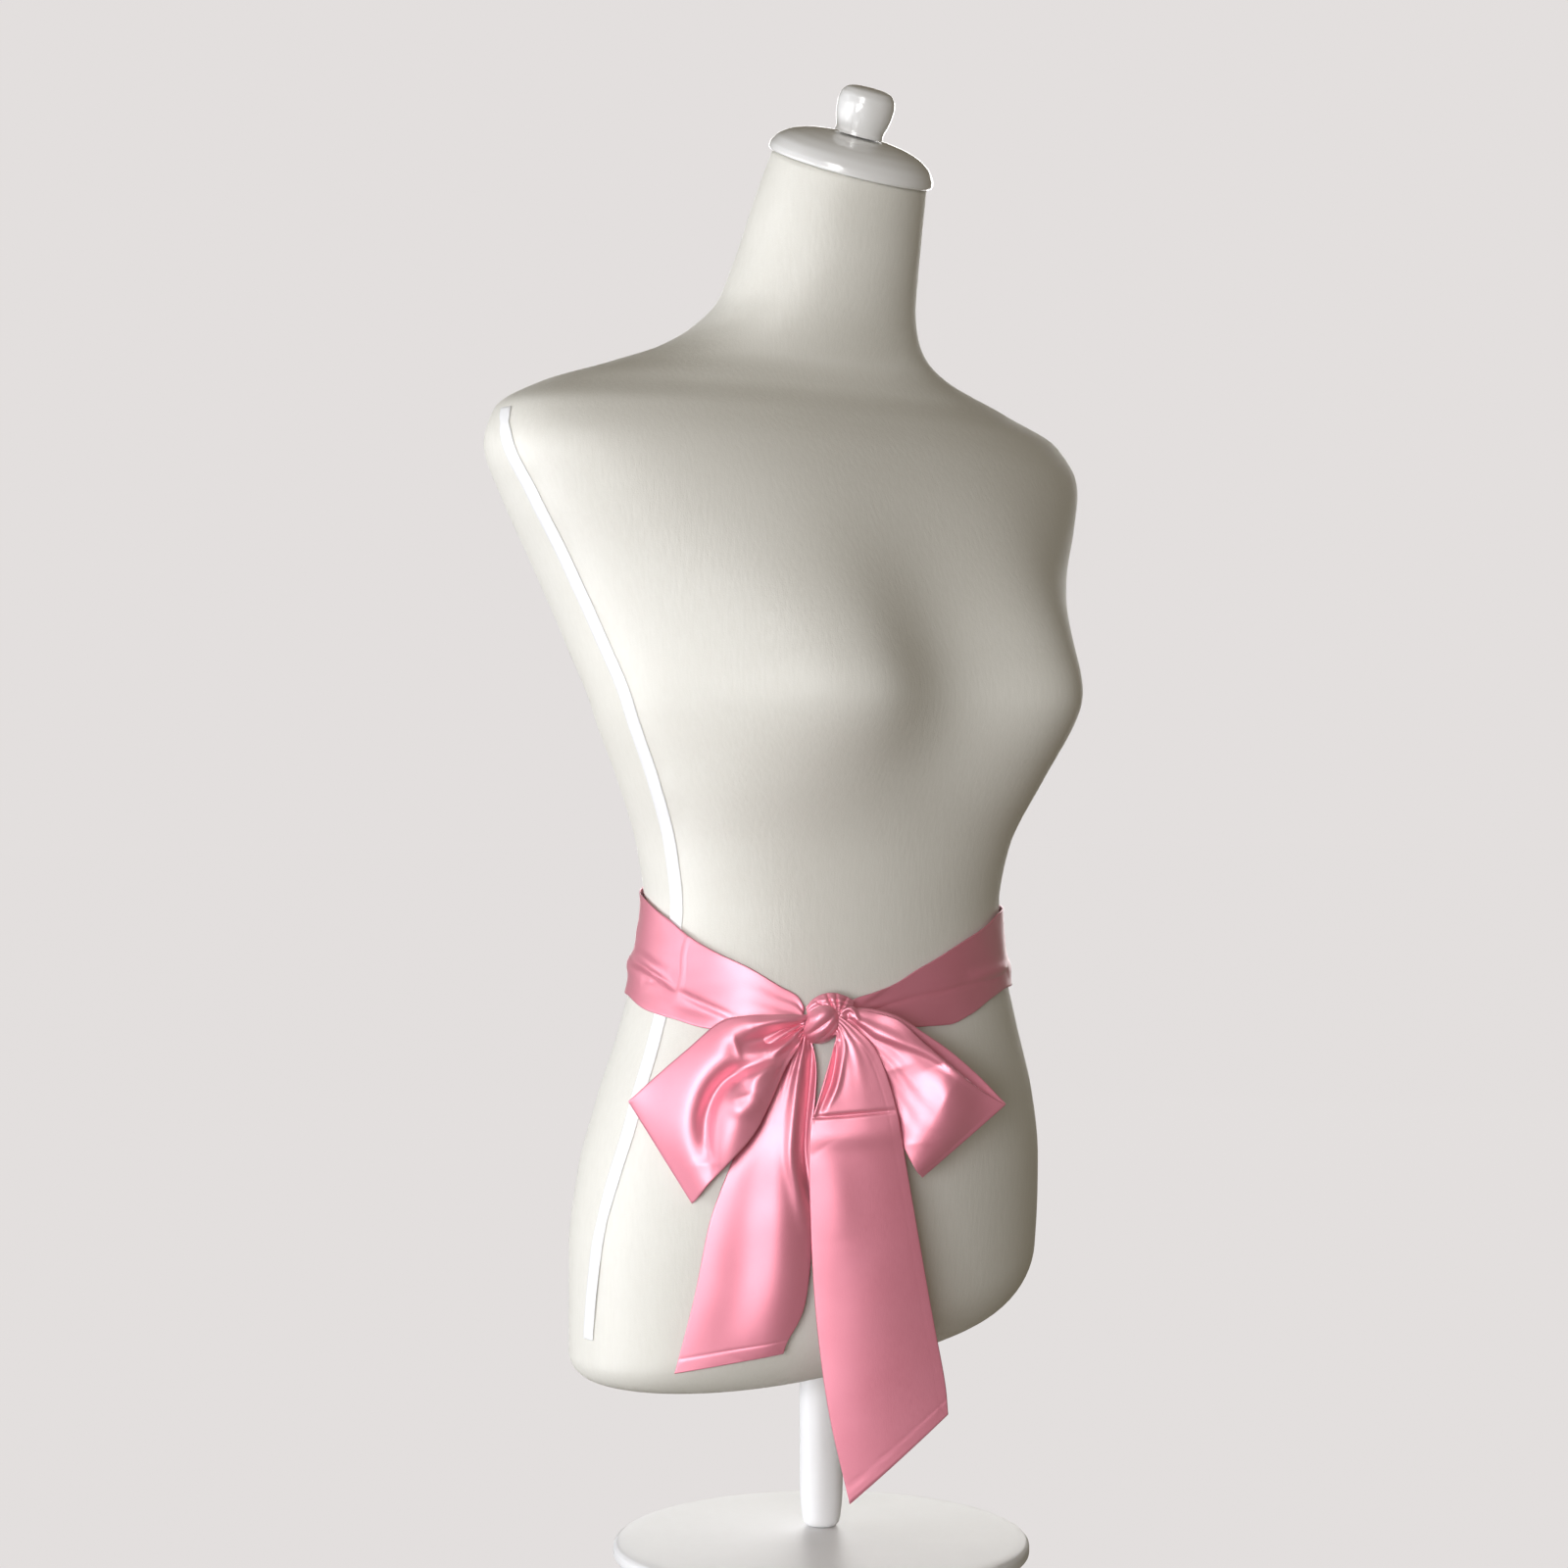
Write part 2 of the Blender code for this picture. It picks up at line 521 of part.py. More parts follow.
def section_sheet(sections, columns, folds, front_rows=None):
    """Work out a cloth grid from its sections; folds act on the rows before the turn."""
    table = spline_rows(sections, [row.steps for row in sections])
    t = np.linspace(0.0, 1.0, columns)[None, :]
    column = {name: table[:, i][:, None] for i, name in enumerate(Section._fields)}
    across = column["a_across"] * (1 - t) + column["b_across"] * t
    up = column["a_up"] * (1 - t) + column["b_up"] * t
    edge = column["out_a"] * (1 - t) + column["out_b"] * t
    bow = column["out_mid"] - (column["out_a"] + column["out_b"]) / 2
    out = edge + bow * 4 * t * (1 - t)
    out = out + column["pleat"] * np.sin(2 * np.pi * PLEAT_WAVES * t) * np.sin(np.pi * t) ** 0.5
    raised = fold_height(folds, across, up)
    if front_rows is not None:
        steps = sum(row.steps for row in sections[:front_rows])
        place = np.arange(len(table))[:, None]
        raised = raised * np.clip((steps - place) / 5.0, 0.0, 1.0)
    return bow_point(across, up, out + raised)


def body_levels():
    """Return the heights of the form's rings, from the neck down to the last even one."""
    heights = [row.height for row in BODY_ROWS[:-1]]
    levels = []
    for upper, lower in zip(heights[:-1], heights[1:]):
        steps = max(1, round((upper - lower) / BODY_RING_GAP))
        levels += [upper + (lower - upper) * step / steps for step in range(steps)]
    levels.append(heights[-1])
    return levels


def build_body(material, collection):
    """Build the form: the table's rows, a rounded lower edge and both closed ends."""
    angle = np.linspace(0.0, 2 * np.pi, BODY_COLUMNS, endpoint=False)
    levels = body_levels()
    rings = [body_point(angle, np.full_like(angle, level)) for level in levels]
    radius = HEM_RADIUS + HEM_RADIUS_SWING * np.cos(angle + math.radians(HEM_SWING_ANGLE))
    outline = body_point(angle, np.full_like(angle, 150.0))
    floor = UNDERSIDE_HEIGHT + UNDERSIDE_SLOPE * outline[:, 0]
    start = floor + radius
    centre = np.array([0.0, body_column("centre_y", 150.0)])
    for step in range(HEM_STEPS + 1):
        turn = math.radians(90.0) * step / HEM_STEPS
        height = start - radius * math.sin(turn)
        ring = body_point(angle, height)
        spoke = ring[:, :2] - centre
        reach = np.linalg.norm(spoke, axis=1, keepdims=True)
        inset = (radius * (1 - math.cos(turn)))[:, None]
        ring[:, :2] = centre + spoke * (1 - inset / reach)
        rings.append(ring)
    hem = rings[-1]
    disc = np.stack(
        [
            UNDERSIDE_DISC * np.cos(angle),
            UNDERSIDE_DISC * np.sin(angle),
            np.full_like(angle, UNDERSIDE_HEIGHT),
        ],
        axis=-1,
    )
    rings.append(hem * 0.5 + disc * 0.5)
    rings.append(disc)
    points = np.vstack(rings)
    faces = grid_faces(len(rings), BODY_COLUMNS, 0, False, True)
    top = len(points)
    crown = rings[0].mean(axis=0)
    points = np.vstack([points, crown, [0.0, 0.0, UNDERSIDE_HEIGHT]])
    last = (len(rings) - 1) * BODY_COLUMNS
    for j in range(BODY_COLUMNS):
        k = (j + 1) % BODY_COLUMNS
        faces.append((k, j, top))
        faces.append((last + j, last + k, top + 1))
    return add_mesh("form_body", points, faces, material, collection)


def build_tape(name, mirrored, material, collection):
    """Build the narrow tape down one side of the form, on the form's own points."""
    lowest = TAPE_END_LEFT if mirrored else TAPE_END_RIGHT
    levels = [level for level in body_levels() if lowest < level < TAPE_ROWS[0].height]
    heights = np.array(levels + [lowest])
    angle = smooth_column([row.height for row in TAPE_ROWS], [row.angle for row in TAPE_ROWS], heights)
    angle = np.radians(180.0 - angle if mirrored else angle)
    step = 0.01
    stretch = np.linalg.norm(body_point(angle + step, heights) - body_point(angle, heights), axis=1)
    half = TAPE_WIDTH / 2 * step / stretch
    columns = np.linspace(-1.0, 1.0, 3)
    grid_angle = angle[:, None] + half[:, None] * columns[None, :]
    grid_height = np.broadcast_to(heights[:, None], grid_angle.shape)
    lift = np.full(grid_angle.shape, SEAM_GAP + TAPE_WALL / 2)
    middle = body_skin(grid_angle, grid_height, lift)
    return cloth_solid(name, middle, TAPE_WALL, material, collection)


def build_band(material, collection):
    """Build the stretch of the sash round the waist, on the form's own points."""
    angles = [row.angle for row in BAND_ROWS]
    angle = np.linspace(angles[0], angles[-1], BAND_ALONG + 1)
    top = smooth_column(angles, [row.top for row in BAND_ROWS], angle)
    bottom = smooth_column(angles, [row.bottom for row in BAND_ROWS], angle)
    lift = smooth_column(angles, [row.lift for row in BAND_ROWS], angle)
    t = np.linspace(0.0, 1.0, BAND_ACROSS + 1)[None, :]
    height = top[:, None] * (1 - t) + bottom[:, None] * t
    grid_angle = np.broadcast_to(angle[:, None], height.shape)
    raised = fold_height(BAND_FOLDS, grid_angle, height, BAND_MM_PER_DEGREE)
    raised = np.maximum(raised, -0.6)
    middle = body_skin(np.radians(grid_angle), height, lift[:, None] + raised)
    return cloth_solid("sash_band", middle, CLOTH_WALL, material, collection)


def build_knot(material, collection):
    """Build the barrel-shaped wrap that holds the bow together."""
    turn = np.linspace(0.0, 2 * np.pi, KNOT_ROUND, endpoint=False)[:, None]
    side = np.linspace(-1.0, 1.0, KNOT_ACROSS + 1)[None, :]
    scale = 1.0 - KNOT_TAPER * side ** 2
    up = KNOT_HALF_HEIGHT * scale * np.sin(turn)
    out = KNOT_OUT + KNOT_HALF_DEPTH * scale * np.cos(turn)
    across = KNOT_HALF_WIDTH * side + KNOT_LEAN * up
    middle = bow_point(across, KNOT_UP + up, out)
    return cloth_solid("sash_knot", middle, CLOTH_WALL, material, collection, around=True)


def build_turned(name, profile, material, collection, rounds, place=(0.0, 0.0, 0.0), tilt=0.0):
    """Turn a profile about Z with a Screw modifier, then lean and place it."""
    mesh = bpy.data.meshes.new(name)
    points = [(row.radius * MM, 0.0, row.height * MM) for row in profile]
    edges = [(i, i + 1) for i in range(len(points) - 1)]
    mesh.from_pydata(points, edges, [])
    mesh.materials.append(material)
    item = bpy.data.objects.new(name, mesh)
    collection.objects.link(item)
    screw = item.modifiers.new("Turn", "SCREW")
    screw.axis = "Z"
    screw.angle = math.radians(360.0)
    screw.steps = rounds
    screw.render_steps = rounds
    screw.use_merge_vertices = True
    screw.merge_threshold = 0.00005
    screw.use_smooth_shade = True
    item.location = [value * MM for value in place]
    item.rotation_euler = (math.radians(tilt), 0.0, 0.0)
    return item


def main():
    """Build every piece of the sash, the form and the stand."""
    clear_scene()
    collection = bpy.data.collections.new("satin_sash_on_form")
    bpy.context.scene.collection.children.link(collection)
    look = {name: make_material(name, finish) for name, finish in FINISHES.items()}

    build_body(look["cover"], collection)
    build_tape("side_tape_right", False, look["tape"], collection)
    build_tape("side_tape_left", True, look["tape"], collection)
    cap_place = (0.0, CAP_CENTRE_Y, CAP_HEIGHT)
    build_turned("neck_cap", CAP_PROFILE, look["gloss"], collection, 48, cap_place, CAP_TILT)
    build_turned("cap_finial", FINIAL_PROFILE, look["gloss"], collection, 32, cap_place, CAP_TILT)
    build_turned("stand_post", POST_PROFILE, look["stand"], collection, 24)
    build_turned("stand_base", BASE_PROFILE, look["stand"], collection, 48)

    satin = look["satin"]
    build_band(satin, collection)
    build_knot(satin, collection)
    sheets = (
        ("sash_knot_upper", KNOT_UPPER_SECTIONS, 6, [], None),
        ("sash_loop_right", LOOP_RIGHT_SECTIONS, SHEET_ACROSS, LOOP_RIGHT_FOLDS, 9),
        ("sash_loop_left", LOOP_LEFT_SECTIONS, SHEET_ACROSS, LOOP_LEFT_FOLDS, 9),
        ("sash_tail_short", TAIL_SHORT_SECTIONS, TAIL_ACROSS, TAIL_SHORT_FOLDS, None),
        ("sash_tail_long", TAIL_LONG_SECTIONS, TAIL_ACROSS, TAIL_LONG_FOLDS, None),
    )
    for name, sections, columns, folds, front_rows in sheets:
        middle = section_sheet(sections, columns, folds, front_rows)
        cloth_solid(name, middle, CLOTH_WALL, satin, collection)


if __name__ == "__main__":
    main()
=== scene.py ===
"""Looks of a satin sash tied in a bow round a limbless dress form.

Sizes in the tables are millimetres and degrees and are turned into metres where a mesh is made.
The form faces -Y, +Z is up and the underside of the stand is at the origin.
"""

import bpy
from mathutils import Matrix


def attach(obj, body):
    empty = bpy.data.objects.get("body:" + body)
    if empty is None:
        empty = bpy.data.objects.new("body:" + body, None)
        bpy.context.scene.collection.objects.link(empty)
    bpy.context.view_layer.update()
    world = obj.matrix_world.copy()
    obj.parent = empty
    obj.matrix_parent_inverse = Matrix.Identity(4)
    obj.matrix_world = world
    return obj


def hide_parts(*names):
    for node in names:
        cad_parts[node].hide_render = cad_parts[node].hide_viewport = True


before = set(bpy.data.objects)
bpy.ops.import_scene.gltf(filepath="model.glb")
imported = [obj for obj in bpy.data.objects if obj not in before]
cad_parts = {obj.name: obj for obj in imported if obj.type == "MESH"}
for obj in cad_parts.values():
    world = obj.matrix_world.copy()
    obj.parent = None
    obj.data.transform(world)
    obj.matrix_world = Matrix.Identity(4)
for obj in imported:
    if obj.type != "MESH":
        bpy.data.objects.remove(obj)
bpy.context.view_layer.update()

import logging
import math
from dataclasses import dataclass, field
from enum import Enum
from typing import NamedTuple, Sequence, Union

import bpy
import numpy as np
from mathutils import Vector

MM = 0.001
BODY = "root"
LOG = logging.getLogger("satin_sash")

Grid = np.ndarray
Colour = tuple[float, float, float]


# --- Shader maths ---------------------------------------------------------------------------


class Signal:
    """A shader socket that Python's operators can add to, multiply or take away."""

    def __init__(self, graph: "ShaderGraph", socket: bpy.types.NodeSocket) -> None:
        """Keep the graph and the socket."""
        self.graph = graph
        self.socket = socket

    def __add__(self, other: "Value") -> "Signal":
        """Add."""
        return self.graph.math("ADD", self, other)

    def __sub__(self, other: "Value") -> "Signal":
        """Take away."""
        return self.graph.math("SUBTRACT", self, other)

    def __rsub__(self, other: "Value") -> "Signal":
        """Take this signal away from a number."""
        return self.graph.math("SUBTRACT", other, self)

    def __mul__(self, other: "Value") -> "Signal":
        """Multiply."""
        return self.graph.math("MULTIPLY", self, other)

    __radd__ = __add__
    __rmul__ = __mul__


Value = Union[Signal, float]


class ShaderGraph:
    """The node tree of one material, with short ways to add what the finishes need."""

    def __init__(self, name: str) -> None:
        """Make an empty material.

        Args:
            name: the material's name.
        """
        self.material = bpy.data.materials.new(name)
        self.material.use_nodes = True
        self.tree = self.material.node_tree
        self.tree.nodes.clear()

    def node(self, kind: str, settings: dict | None = None, inputs: dict | None = None) -> bpy.types.Node:
        """Add a node.

        Args:
            kind: the node's type.
            settings: its properties, set first.
            inputs: its sockets by name or place, each a Signal or a plain value.

        Returns:
            The new node.
        """
        node = self.tree.nodes.new(kind)
        for key, value in (settings or {}).items():
            setattr(node, key, value)
        for key, value in (inputs or {}).items():
            if isinstance(value, Signal):
                self.tree.links.new(value.socket, node.inputs[key])
            else:
                node.inputs[key].default_value = value
        return node

    def math(self, operation: str, *values: Value, held: bool = False) -> Signal:
        """Return a Math node's result for its values, held between 0 and 1 if asked."""
        node = self.node("ShaderNodeMath", {"operation": operation, "use_clamp": held}, dict(enumerate(values)))
        return Signal(self, node.outputs[0])

    def object_point(self) -> Signal:
        """Return the point on the piece in the object's own metres."""
        return Signal(self, self.node("ShaderNodeTexCoord").outputs["Object"])

    def cloth_point(self) -> Signal:
        """Return the point on the cloth: metres across and metres along."""
        return Signal(self, self.node("ShaderNodeUVMap", {"uv_map": "Cloth"}).outputs["UV"])

    def stretched(self, point: Signal, scale: tuple[float, float, float]) -> Signal:
        """Return a point with each coordinate multiplied by its own scale."""
        node = self.node("ShaderNodeVectorMath", {"operation": "MULTIPLY"}, {0: point, 1: scale})
        return Signal(self, node.outputs[0])

    def noise(self, point: Signal, scale: float, detail: float = 2.0, roughness: float = 0.5) -> Signal:
        """Return smooth noise from 0 to 1 at a point."""
        inputs = {"Vector": point, "Scale": scale, "Detail": detail, "Roughness": roughness}
        return Signal(self, self.node("ShaderNodeTexNoise", None, inputs).outputs["Fac"])

    def ranged(self, value: Signal, low: float, high: float, to_low: float, to_high: float) -> Signal:
        """Map a value from one range to another, held at both ends.

        Formula: the value's share of the way from low to high, kept between 0 and 1, is the
        result's share of the way from to_low to to_high.

        Args:
            value: the signal to map.
            low: where the first range begins.
            high: where the first range ends.
            to_low: the result at low and below.
            to_high: the result at high and above.

        Returns:
            The mapped signal.
        """
        share = self.math("MULTIPLY", value - low, 1.0 / (high - low), held=True)
        return to_low + share * (to_high - to_low)

    def blend(self, amount: Value, first: Union[Signal, Colour], second: Union[Signal, Colour]) -> Signal:
        """Mix two colours.

        Args:
            amount: 0 for the first colour and 1 for the second.
            first: the first colour.
            second: the second colour.

        Returns:
            The colour between them.
        """
        node = self.node("ShaderNodeMix", {"data_type": "RGBA"})
        for key, value in ((0, amount), (6, first), (7, second)):
            if isinstance(value, Signal):
                self.tree.links.new(value.socket, node.inputs[key])
            else:
                node.inputs[key].default_value = (*value, 1.0) if key else value
        return Signal(self, node.outputs[2])

    def bump(self, height: Signal, distance: float, under: Signal | None = None) -> Signal:
        """Roughen the surface with a height pattern.

        Args:
            height: the pattern, from 0 to 1.
            distance: metres between its lowest and highest point.
            under: another roughened normal that this one is laid on.

        Returns:
            The new normal.
        """
        inputs = {"Height": height, "Distance": distance, "Strength": 1.0}
        if under is not None:
            inputs["Normal"] = under
        return Signal(self, self.node("ShaderNodeBump", None, inputs).outputs["Normal"])

    def finish(self, inputs: dict) -> bpy.types.Material:
        """Close the tree with a Principled shader.

        Args:
            inputs: the shader's sockets by name.

        Returns:
            The finished material.
        """
        shader = self.node("ShaderNodeBsdfPrincipled", None, inputs)
        self.node("ShaderNodeOutputMaterial", None, {"Surface": Signal(self, shader.outputs[0])})
        return self.material


# --- Finishes -------------------------------------------------------------------------------


@dataclass(frozen=True)
class SatinFinish:
    """Pink satin: a soft deep gloss, faint lighter streaks along the threads that are partly painted sheen, and a
    slight colour drift.

    Scales are pattern sizes in one metre, reliefs are metres, and a blend is how far a colour
    goes towards the next one.
    """

    colour: Colour = (0.85, 0.288, 0.388)
    deep: Colour = (0.82, 0.264, 0.358)
    # The streak colour is partly painted sheen: the lighter glint of the raised threads as well as the weave's own
    # streaks.
    streak: Colour = (0.90, 0.38, 0.46)
    roughness: float = 0.485
    roughness_swing: float = 0.05
    metallic: float = 0.52
    specular: float = 0.65
    coat: float = 0.6
    coat_roughness: float = 0.32
    sheen: float = 0.15
    sheen_roughness: float = 0.4
    streak_blend: float = 0.16
    drift_scale: float = 28.0
    thread_scale: float = 1500.0
    thread_stretch: float = 0.16
    thread_relief: float = 0.00005
    pucker_scale: float = 55.0
    pucker_stretch: float = 0.35
    pucker_relief: float = 0.00015

    def material(self) -> bpy.types.Material:
        """Build the finish.

        Formula: fine noise drawn out along the cloth's length gives the threads' streaks, which are partly painted
        sheen, and their roughness and relief; a slow noise drifts the colour and a wide one puckers the cloth.

        Returns:
            The material, patterned on the cloth's own sizes across and along.
        """
        graph = ShaderGraph("satin pink")
        point = graph.cloth_point()
        thread_point = graph.stretched(point, (1.0, self.thread_stretch, 1.0))
        threads = graph.noise(thread_point, self.thread_scale, 3.0, 0.6)
        drift = graph.noise(point, self.drift_scale, 2.0)
        pucker = graph.noise(graph.stretched(point, (1.0, self.pucker_stretch, 1.0)), self.pucker_scale, 1.0)
        colour = graph.blend(graph.ranged(drift, 0.35, 0.7, 0.0, 1.0), self.colour, self.deep)
        # Partly painted sheen: raised threads take the lighter streak colour, on top of the weave's own streaks.
        colour = graph.blend(graph.ranged(threads, 0.3, 0.7, 0.0, self.streak_blend), colour, self.streak)
        rough = graph.ranged(
            threads, 0.25, 0.75, self.roughness - self.roughness_swing, self.roughness + self.roughness_swing
        )
        normal = graph.bump(threads, self.thread_relief)
        normal = graph.bump(pucker, self.pucker_relief, normal)
        return graph.finish({
            "Base Color": colour,
            "Roughness": rough,
            "Metallic": self.metallic,
            "Specular IOR Level": self.specular,
            "Coat Weight": self.coat,
            "Coat Roughness": self.coat_roughness,
            "Sheen Weight": self.sheen,
            "Sheen Roughness": self.sheen_roughness,
            "Normal": normal,
        })


@dataclass(frozen=True)
class CoverFinish:
    """Ivory leatherette with a fine crinkle that runs mostly up and down."""

    colour: Colour = (0.735, 0.715, 0.650)
    # Painted shade: the colour laid into the crinkle's hollows.
    shade: Colour = (0.640, 0.615, 0.545)
    warm: Colour = (0.700, 0.672, 0.590)
    shade_blend: float = 0.22
    warm_blend: float = 0.30
    roughness: float = 0.50
    specular: float = 0.35
    grain_scale: float = 420.0
    grain_stretch: float = 0.22
    grain_relief: float = 0.00020
    pore_scale: float = 1500.0
    pore_relief: float = 0.00006
    blotch_scale: float = 9.0

    def material(self) -> bpy.types.Material:
        """Build the finish.

        Formula: noise drawn out upwards gives the crinkle, a finer one the pores and a slow one the warm patches.
        Hollows of the crinkle are rougher and darker, and the darkening is painted shade.

        Returns:
            The material, patterned on the object's own coordinates.
        """
        graph = ShaderGraph("cover ivory")
        point = graph.object_point()
        grain_point = graph.stretched(point, (1.0, 1.0, self.grain_stretch))
        grain = graph.noise(grain_point, self.grain_scale, 4.0, 0.62)
        pores = graph.noise(point, self.pore_scale, 1.0)
        blotch = graph.noise(point, self.blotch_scale, 3.0)
        # Painted shade: where the grain is low, in the crinkle's hollows, the colour goes towards the shade colour.
        colour = graph.blend(graph.ranged(grain, 0.30, 0.62, self.shade_blend, 0.0), self.colour, self.shade)
        colour = graph.blend(graph.ranged(blotch, 0.35, 0.75, 0.0, self.warm_blend), colour, self.warm)
        normal = graph.bump(grain, self.grain_relief)
        normal = graph.bump(pores, self.pore_relief, normal)
        rough = graph.ranged(grain, 0.3, 0.7, self.roughness + 0.08, self.roughness - 0.06)
        return graph.finish({
            "Base Color": colour,
            "Roughness": rough,
            "Specular IOR Level": self.specular,
            "Normal": normal,
        })


@dataclass(frozen=True)
class GlossFinish:
    """A glossy or satin-smooth moulded or painted surface."""

    name: str
    colour: Colour
    roughness: float
    coat: float
    relief: float = 0.00003
    dust_relief: float = 0.000006
    coat_roughness: float = 0.08
    dulling: float = 0.10
    darkening: float = 0.93
    tone_scale: float = 14.0
    dust_scale: float = 320.0

    def material(self) -> bpy.types.Material:
        """Build the finish.

        Formula: a slow noise darkens the colour a little and gives a faint orange peel, and a
        fine one dulls the gloss as dust does.

        Returns:
            The material, patterned on the object's own coordinates.
        """
        graph = ShaderGraph(self.name)
        point = graph.object_point()
        tone = graph.noise(point, self.tone_scale, 3.0)
        dust = graph.noise(point, self.dust_scale, 3.0, 0.6)
        darker = tuple(value * self.darkening for value in self.colour)
        colour = graph.blend(graph.ranged(tone, 0.4, 0.75, 0.0, 0.5), self.colour, darker)
        rough = graph.ranged(dust, 0.35, 0.75, self.roughness, self.roughness + self.dulling)
        return graph.finish({
            "Base Color": colour,
            "Roughness": rough,
            "Coat Weight": self.coat,
            "Coat Roughness": self.coat_roughness,
            "Normal": graph.bump(tone, self.relief, graph.bump(dust, self.dust_relief)),
        })


@dataclass(frozen=True)
class FloorFinish:
    """The plain pale floor, lit evenly so that it meets the background without an edge."""

    colour: Colour = (0.002, 0.002, 0.002)
    glow: Colour = (0.7665, 0.7365, 0.7285)
    roughness: float = 0.9

    def material(self) -> bpy.types.Material:
        """Build the finish.

        Returns:
            The material, the same all over.
        """
        graph = ShaderGraph("floor pale")
        return graph.finish({
            "Base Color": (*self.colour, 1.0),
            "Roughness": self.roughness,
            "Specular IOR Level": 0.0,
            "Emission Color": (*self.glow, 1.0),
            "Emission Strength": 1.0,
        })


# --- Curves and surfaces --------------------------------------------------------------------


def smooth_column(positions: Sequence[float], values: Sequence[float], at: Grid) -> Grid:
    """Interpolate a table column with a cubic that never overshoots its rows.

    Formula: between two rows a cubic Hermite curve, whose slope at each row is the weighted
    harmonic mean of the slopes on both sides, or 0 where they differ in sign.

    Args:
        positions: where the rows are.
        values: the column's values there.
        at: where values are wanted.

    Returns:
        The values at those places.
    """
    order = np.argsort(positions)
    x = np.asarray(positions, float)[order]
    y = np.asarray(values, float)[order]
    steps = np.diff(x)
    slopes = np.diff(y) / steps
    tangent = np.zeros_like(y)
    tangent[0] = slopes[0]
    tangent[-1] = slopes[-1]
    left, right = slopes[:-1], slopes[1:]
    same = left * right > 0.0
    weight_a = 2.0 * steps[1:] + steps[:-1]
    weight_b = steps[1:] + 2.0 * steps[:-1]
    mean = (weight_a + weight_b) / (weight_a / np.where(same, left, 1.0) + weight_b / np.where(same, right, 1.0))
    tangent[1:-1] = np.where(same, mean, 0.0)
    at = np.clip(np.asarray(at, float), x[0], x[-1])
    index = np.clip(np.searchsorted(x, at, side="right") - 1, 0, len(steps) - 1)
    width = steps[index]
    t = (at - x[index]) / width
    low = (1.0 + 2.0 * t) * (1.0 - t) ** 2 * y[index] + t * t * (3.0 - 2.0 * t) * y[index + 1]
    turn = t * (1.0 - t) ** 2 * tangent[index] - t * t * (1.0 - t) * tangent[index + 1]
    return low + width * turn


def table_column(rows: Sequence[NamedTuple], key: str, name: str, at: Grid) -> Grid:
    """Interpolate a table's named column along another of its columns."""
    return smooth_column([getattr(row, key) for row in rows], [getattr(row, name) for row in rows], at)


CREASE_ROUNDING = 0.04
LAP_SHARPNESS = 0.22


class FoldShape(Enum):
    """How a fold's cross-section looks."""

    SOFT = "a rounded ridge or trough"
    CREASE = "a narrow pressed line with wide soft sides"
    LAP = "a step: the cloth is higher on the fold's left side and falls off away from it"


class Fold(NamedTuple):
    """A fold along a smooth curve through points of the cloth's own two sizes."""

    path: tuple[tuple[float, float], ...]
    width: float
    rise: float
    shape: FoldShape = FoldShape.SOFT


def smooth_path(points: Sequence[tuple[float, float]], steps: int = 14) -> Grid:
    """Run a curve without corners through points.

    Formula: a Catmull-Rom cubic between each two, with one more point added in line with
    each end.

    Args:
        points: the points.
        steps: how many pieces each cubic is cut into.

    Returns:
        The curve's points.
    """
    table = np.asarray(points, float)
    padded = np.vstack([2 * table[0] - table[1], table, 2 * table[-1] - table[-2]])
    index = np.repeat(np.arange(len(table) - 1), steps)
    t = np.tile(np.arange(steps) / steps, len(table) - 1)[:, None]
    return np.vstack([spline(padded, index, t), table[-1]])


def spline(padded: Grid, index: Grid, t: Grid) -> Grid:
    """Run Catmull-Rom cubics through a table's rows.

    Formula: half the sum of four weighted rows, whose weights are cubics of t.

    Args:
        padded: the rows, with one more before the first and after the last.
        index: the first of each cubic's four rows.
        t: how far along its cubic each point is, from 0 to 1.

    Returns:
        The curve's points.
    """
    p0, p1, p2, p3 = (padded[index + k] for k in range(4))
    return 0.5 * (2 * p1 + (p2 - p0) * t + (2 * p0 - 5 * p1 + 4 * p2 - p3) * t ** 2
                  + (3 * p1 - p0 - 3 * p2 + p3) * t ** 3)


def fold_height(folds: Sequence[Fold], a: Grid, b: Grid, a_scale: float = 1.0) -> Grid:
    """Add up the folds at the points a, b.

    Formula: rise times a bell of the distance to the fold's curve over its width, faded out
    at the curve's ends by the root of a half sine. A crease's bell is pointed. A lap's is
    halved by a step across the curve, the hyperbolic tangent of the signed distance.

    Args:
        folds: the folds.
        a: the points' first size.
        b: the points' second size.
        a_scale: millimetres in one unit of the first size.

    Returns:
        The height at each point.
    """
    total = np.zeros(np.broadcast(a, b).shape)
    for fold in folds:
        curve = smooth_path(fold.path) * np.array([a_scale, 1.0])
        start, run = curve[:-1], np.diff(curve, axis=0)
        gap_a = a[..., None] * a_scale - start[:, 0]
        gap_b = b[..., None] - start[:, 1]
        share = np.clip((gap_a * run[:, 0] + gap_b * run[:, 1]) / (run ** 2).sum(axis=1), 0.0, 1.0)
        gap_a = gap_a - share * run[:, 0]
        gap_b = gap_b - share * run[:, 1]
        distance = np.hypot(gap_a, gap_b)
        nearest = np.argmin(distance, axis=-1)
        gap, gap_a, gap_b, share = (
            np.take_along_axis(value, nearest[..., None], axis=-1)[..., 0]
            for value in (distance, gap_a, gap_b, share)
        )
        fade = np.sin(np.pi * np.clip((nearest + share) / len(run), 0.02, 0.98)) ** 0.5
        bell = np.exp(-(gap / fold.width) ** 2)
        if fold.shape is FoldShape.CREASE:
            bell = np.exp(-np.sqrt(gap ** 2 + CREASE_ROUNDING) / fold.width)
        if fold.shape is FoldShape.LAP:
            run_a, run_b = run[nearest, 0], run[nearest, 1]
            side = (run_a * gap_b - run_b * gap_a) / np.hypot(run_a, run_b)
            bell = bell * 0.5 * (1.0 + np.tanh(side / (LAP_SHARPNESS * fold.width)))
        total = total + fold.rise * fade * bell
    return total


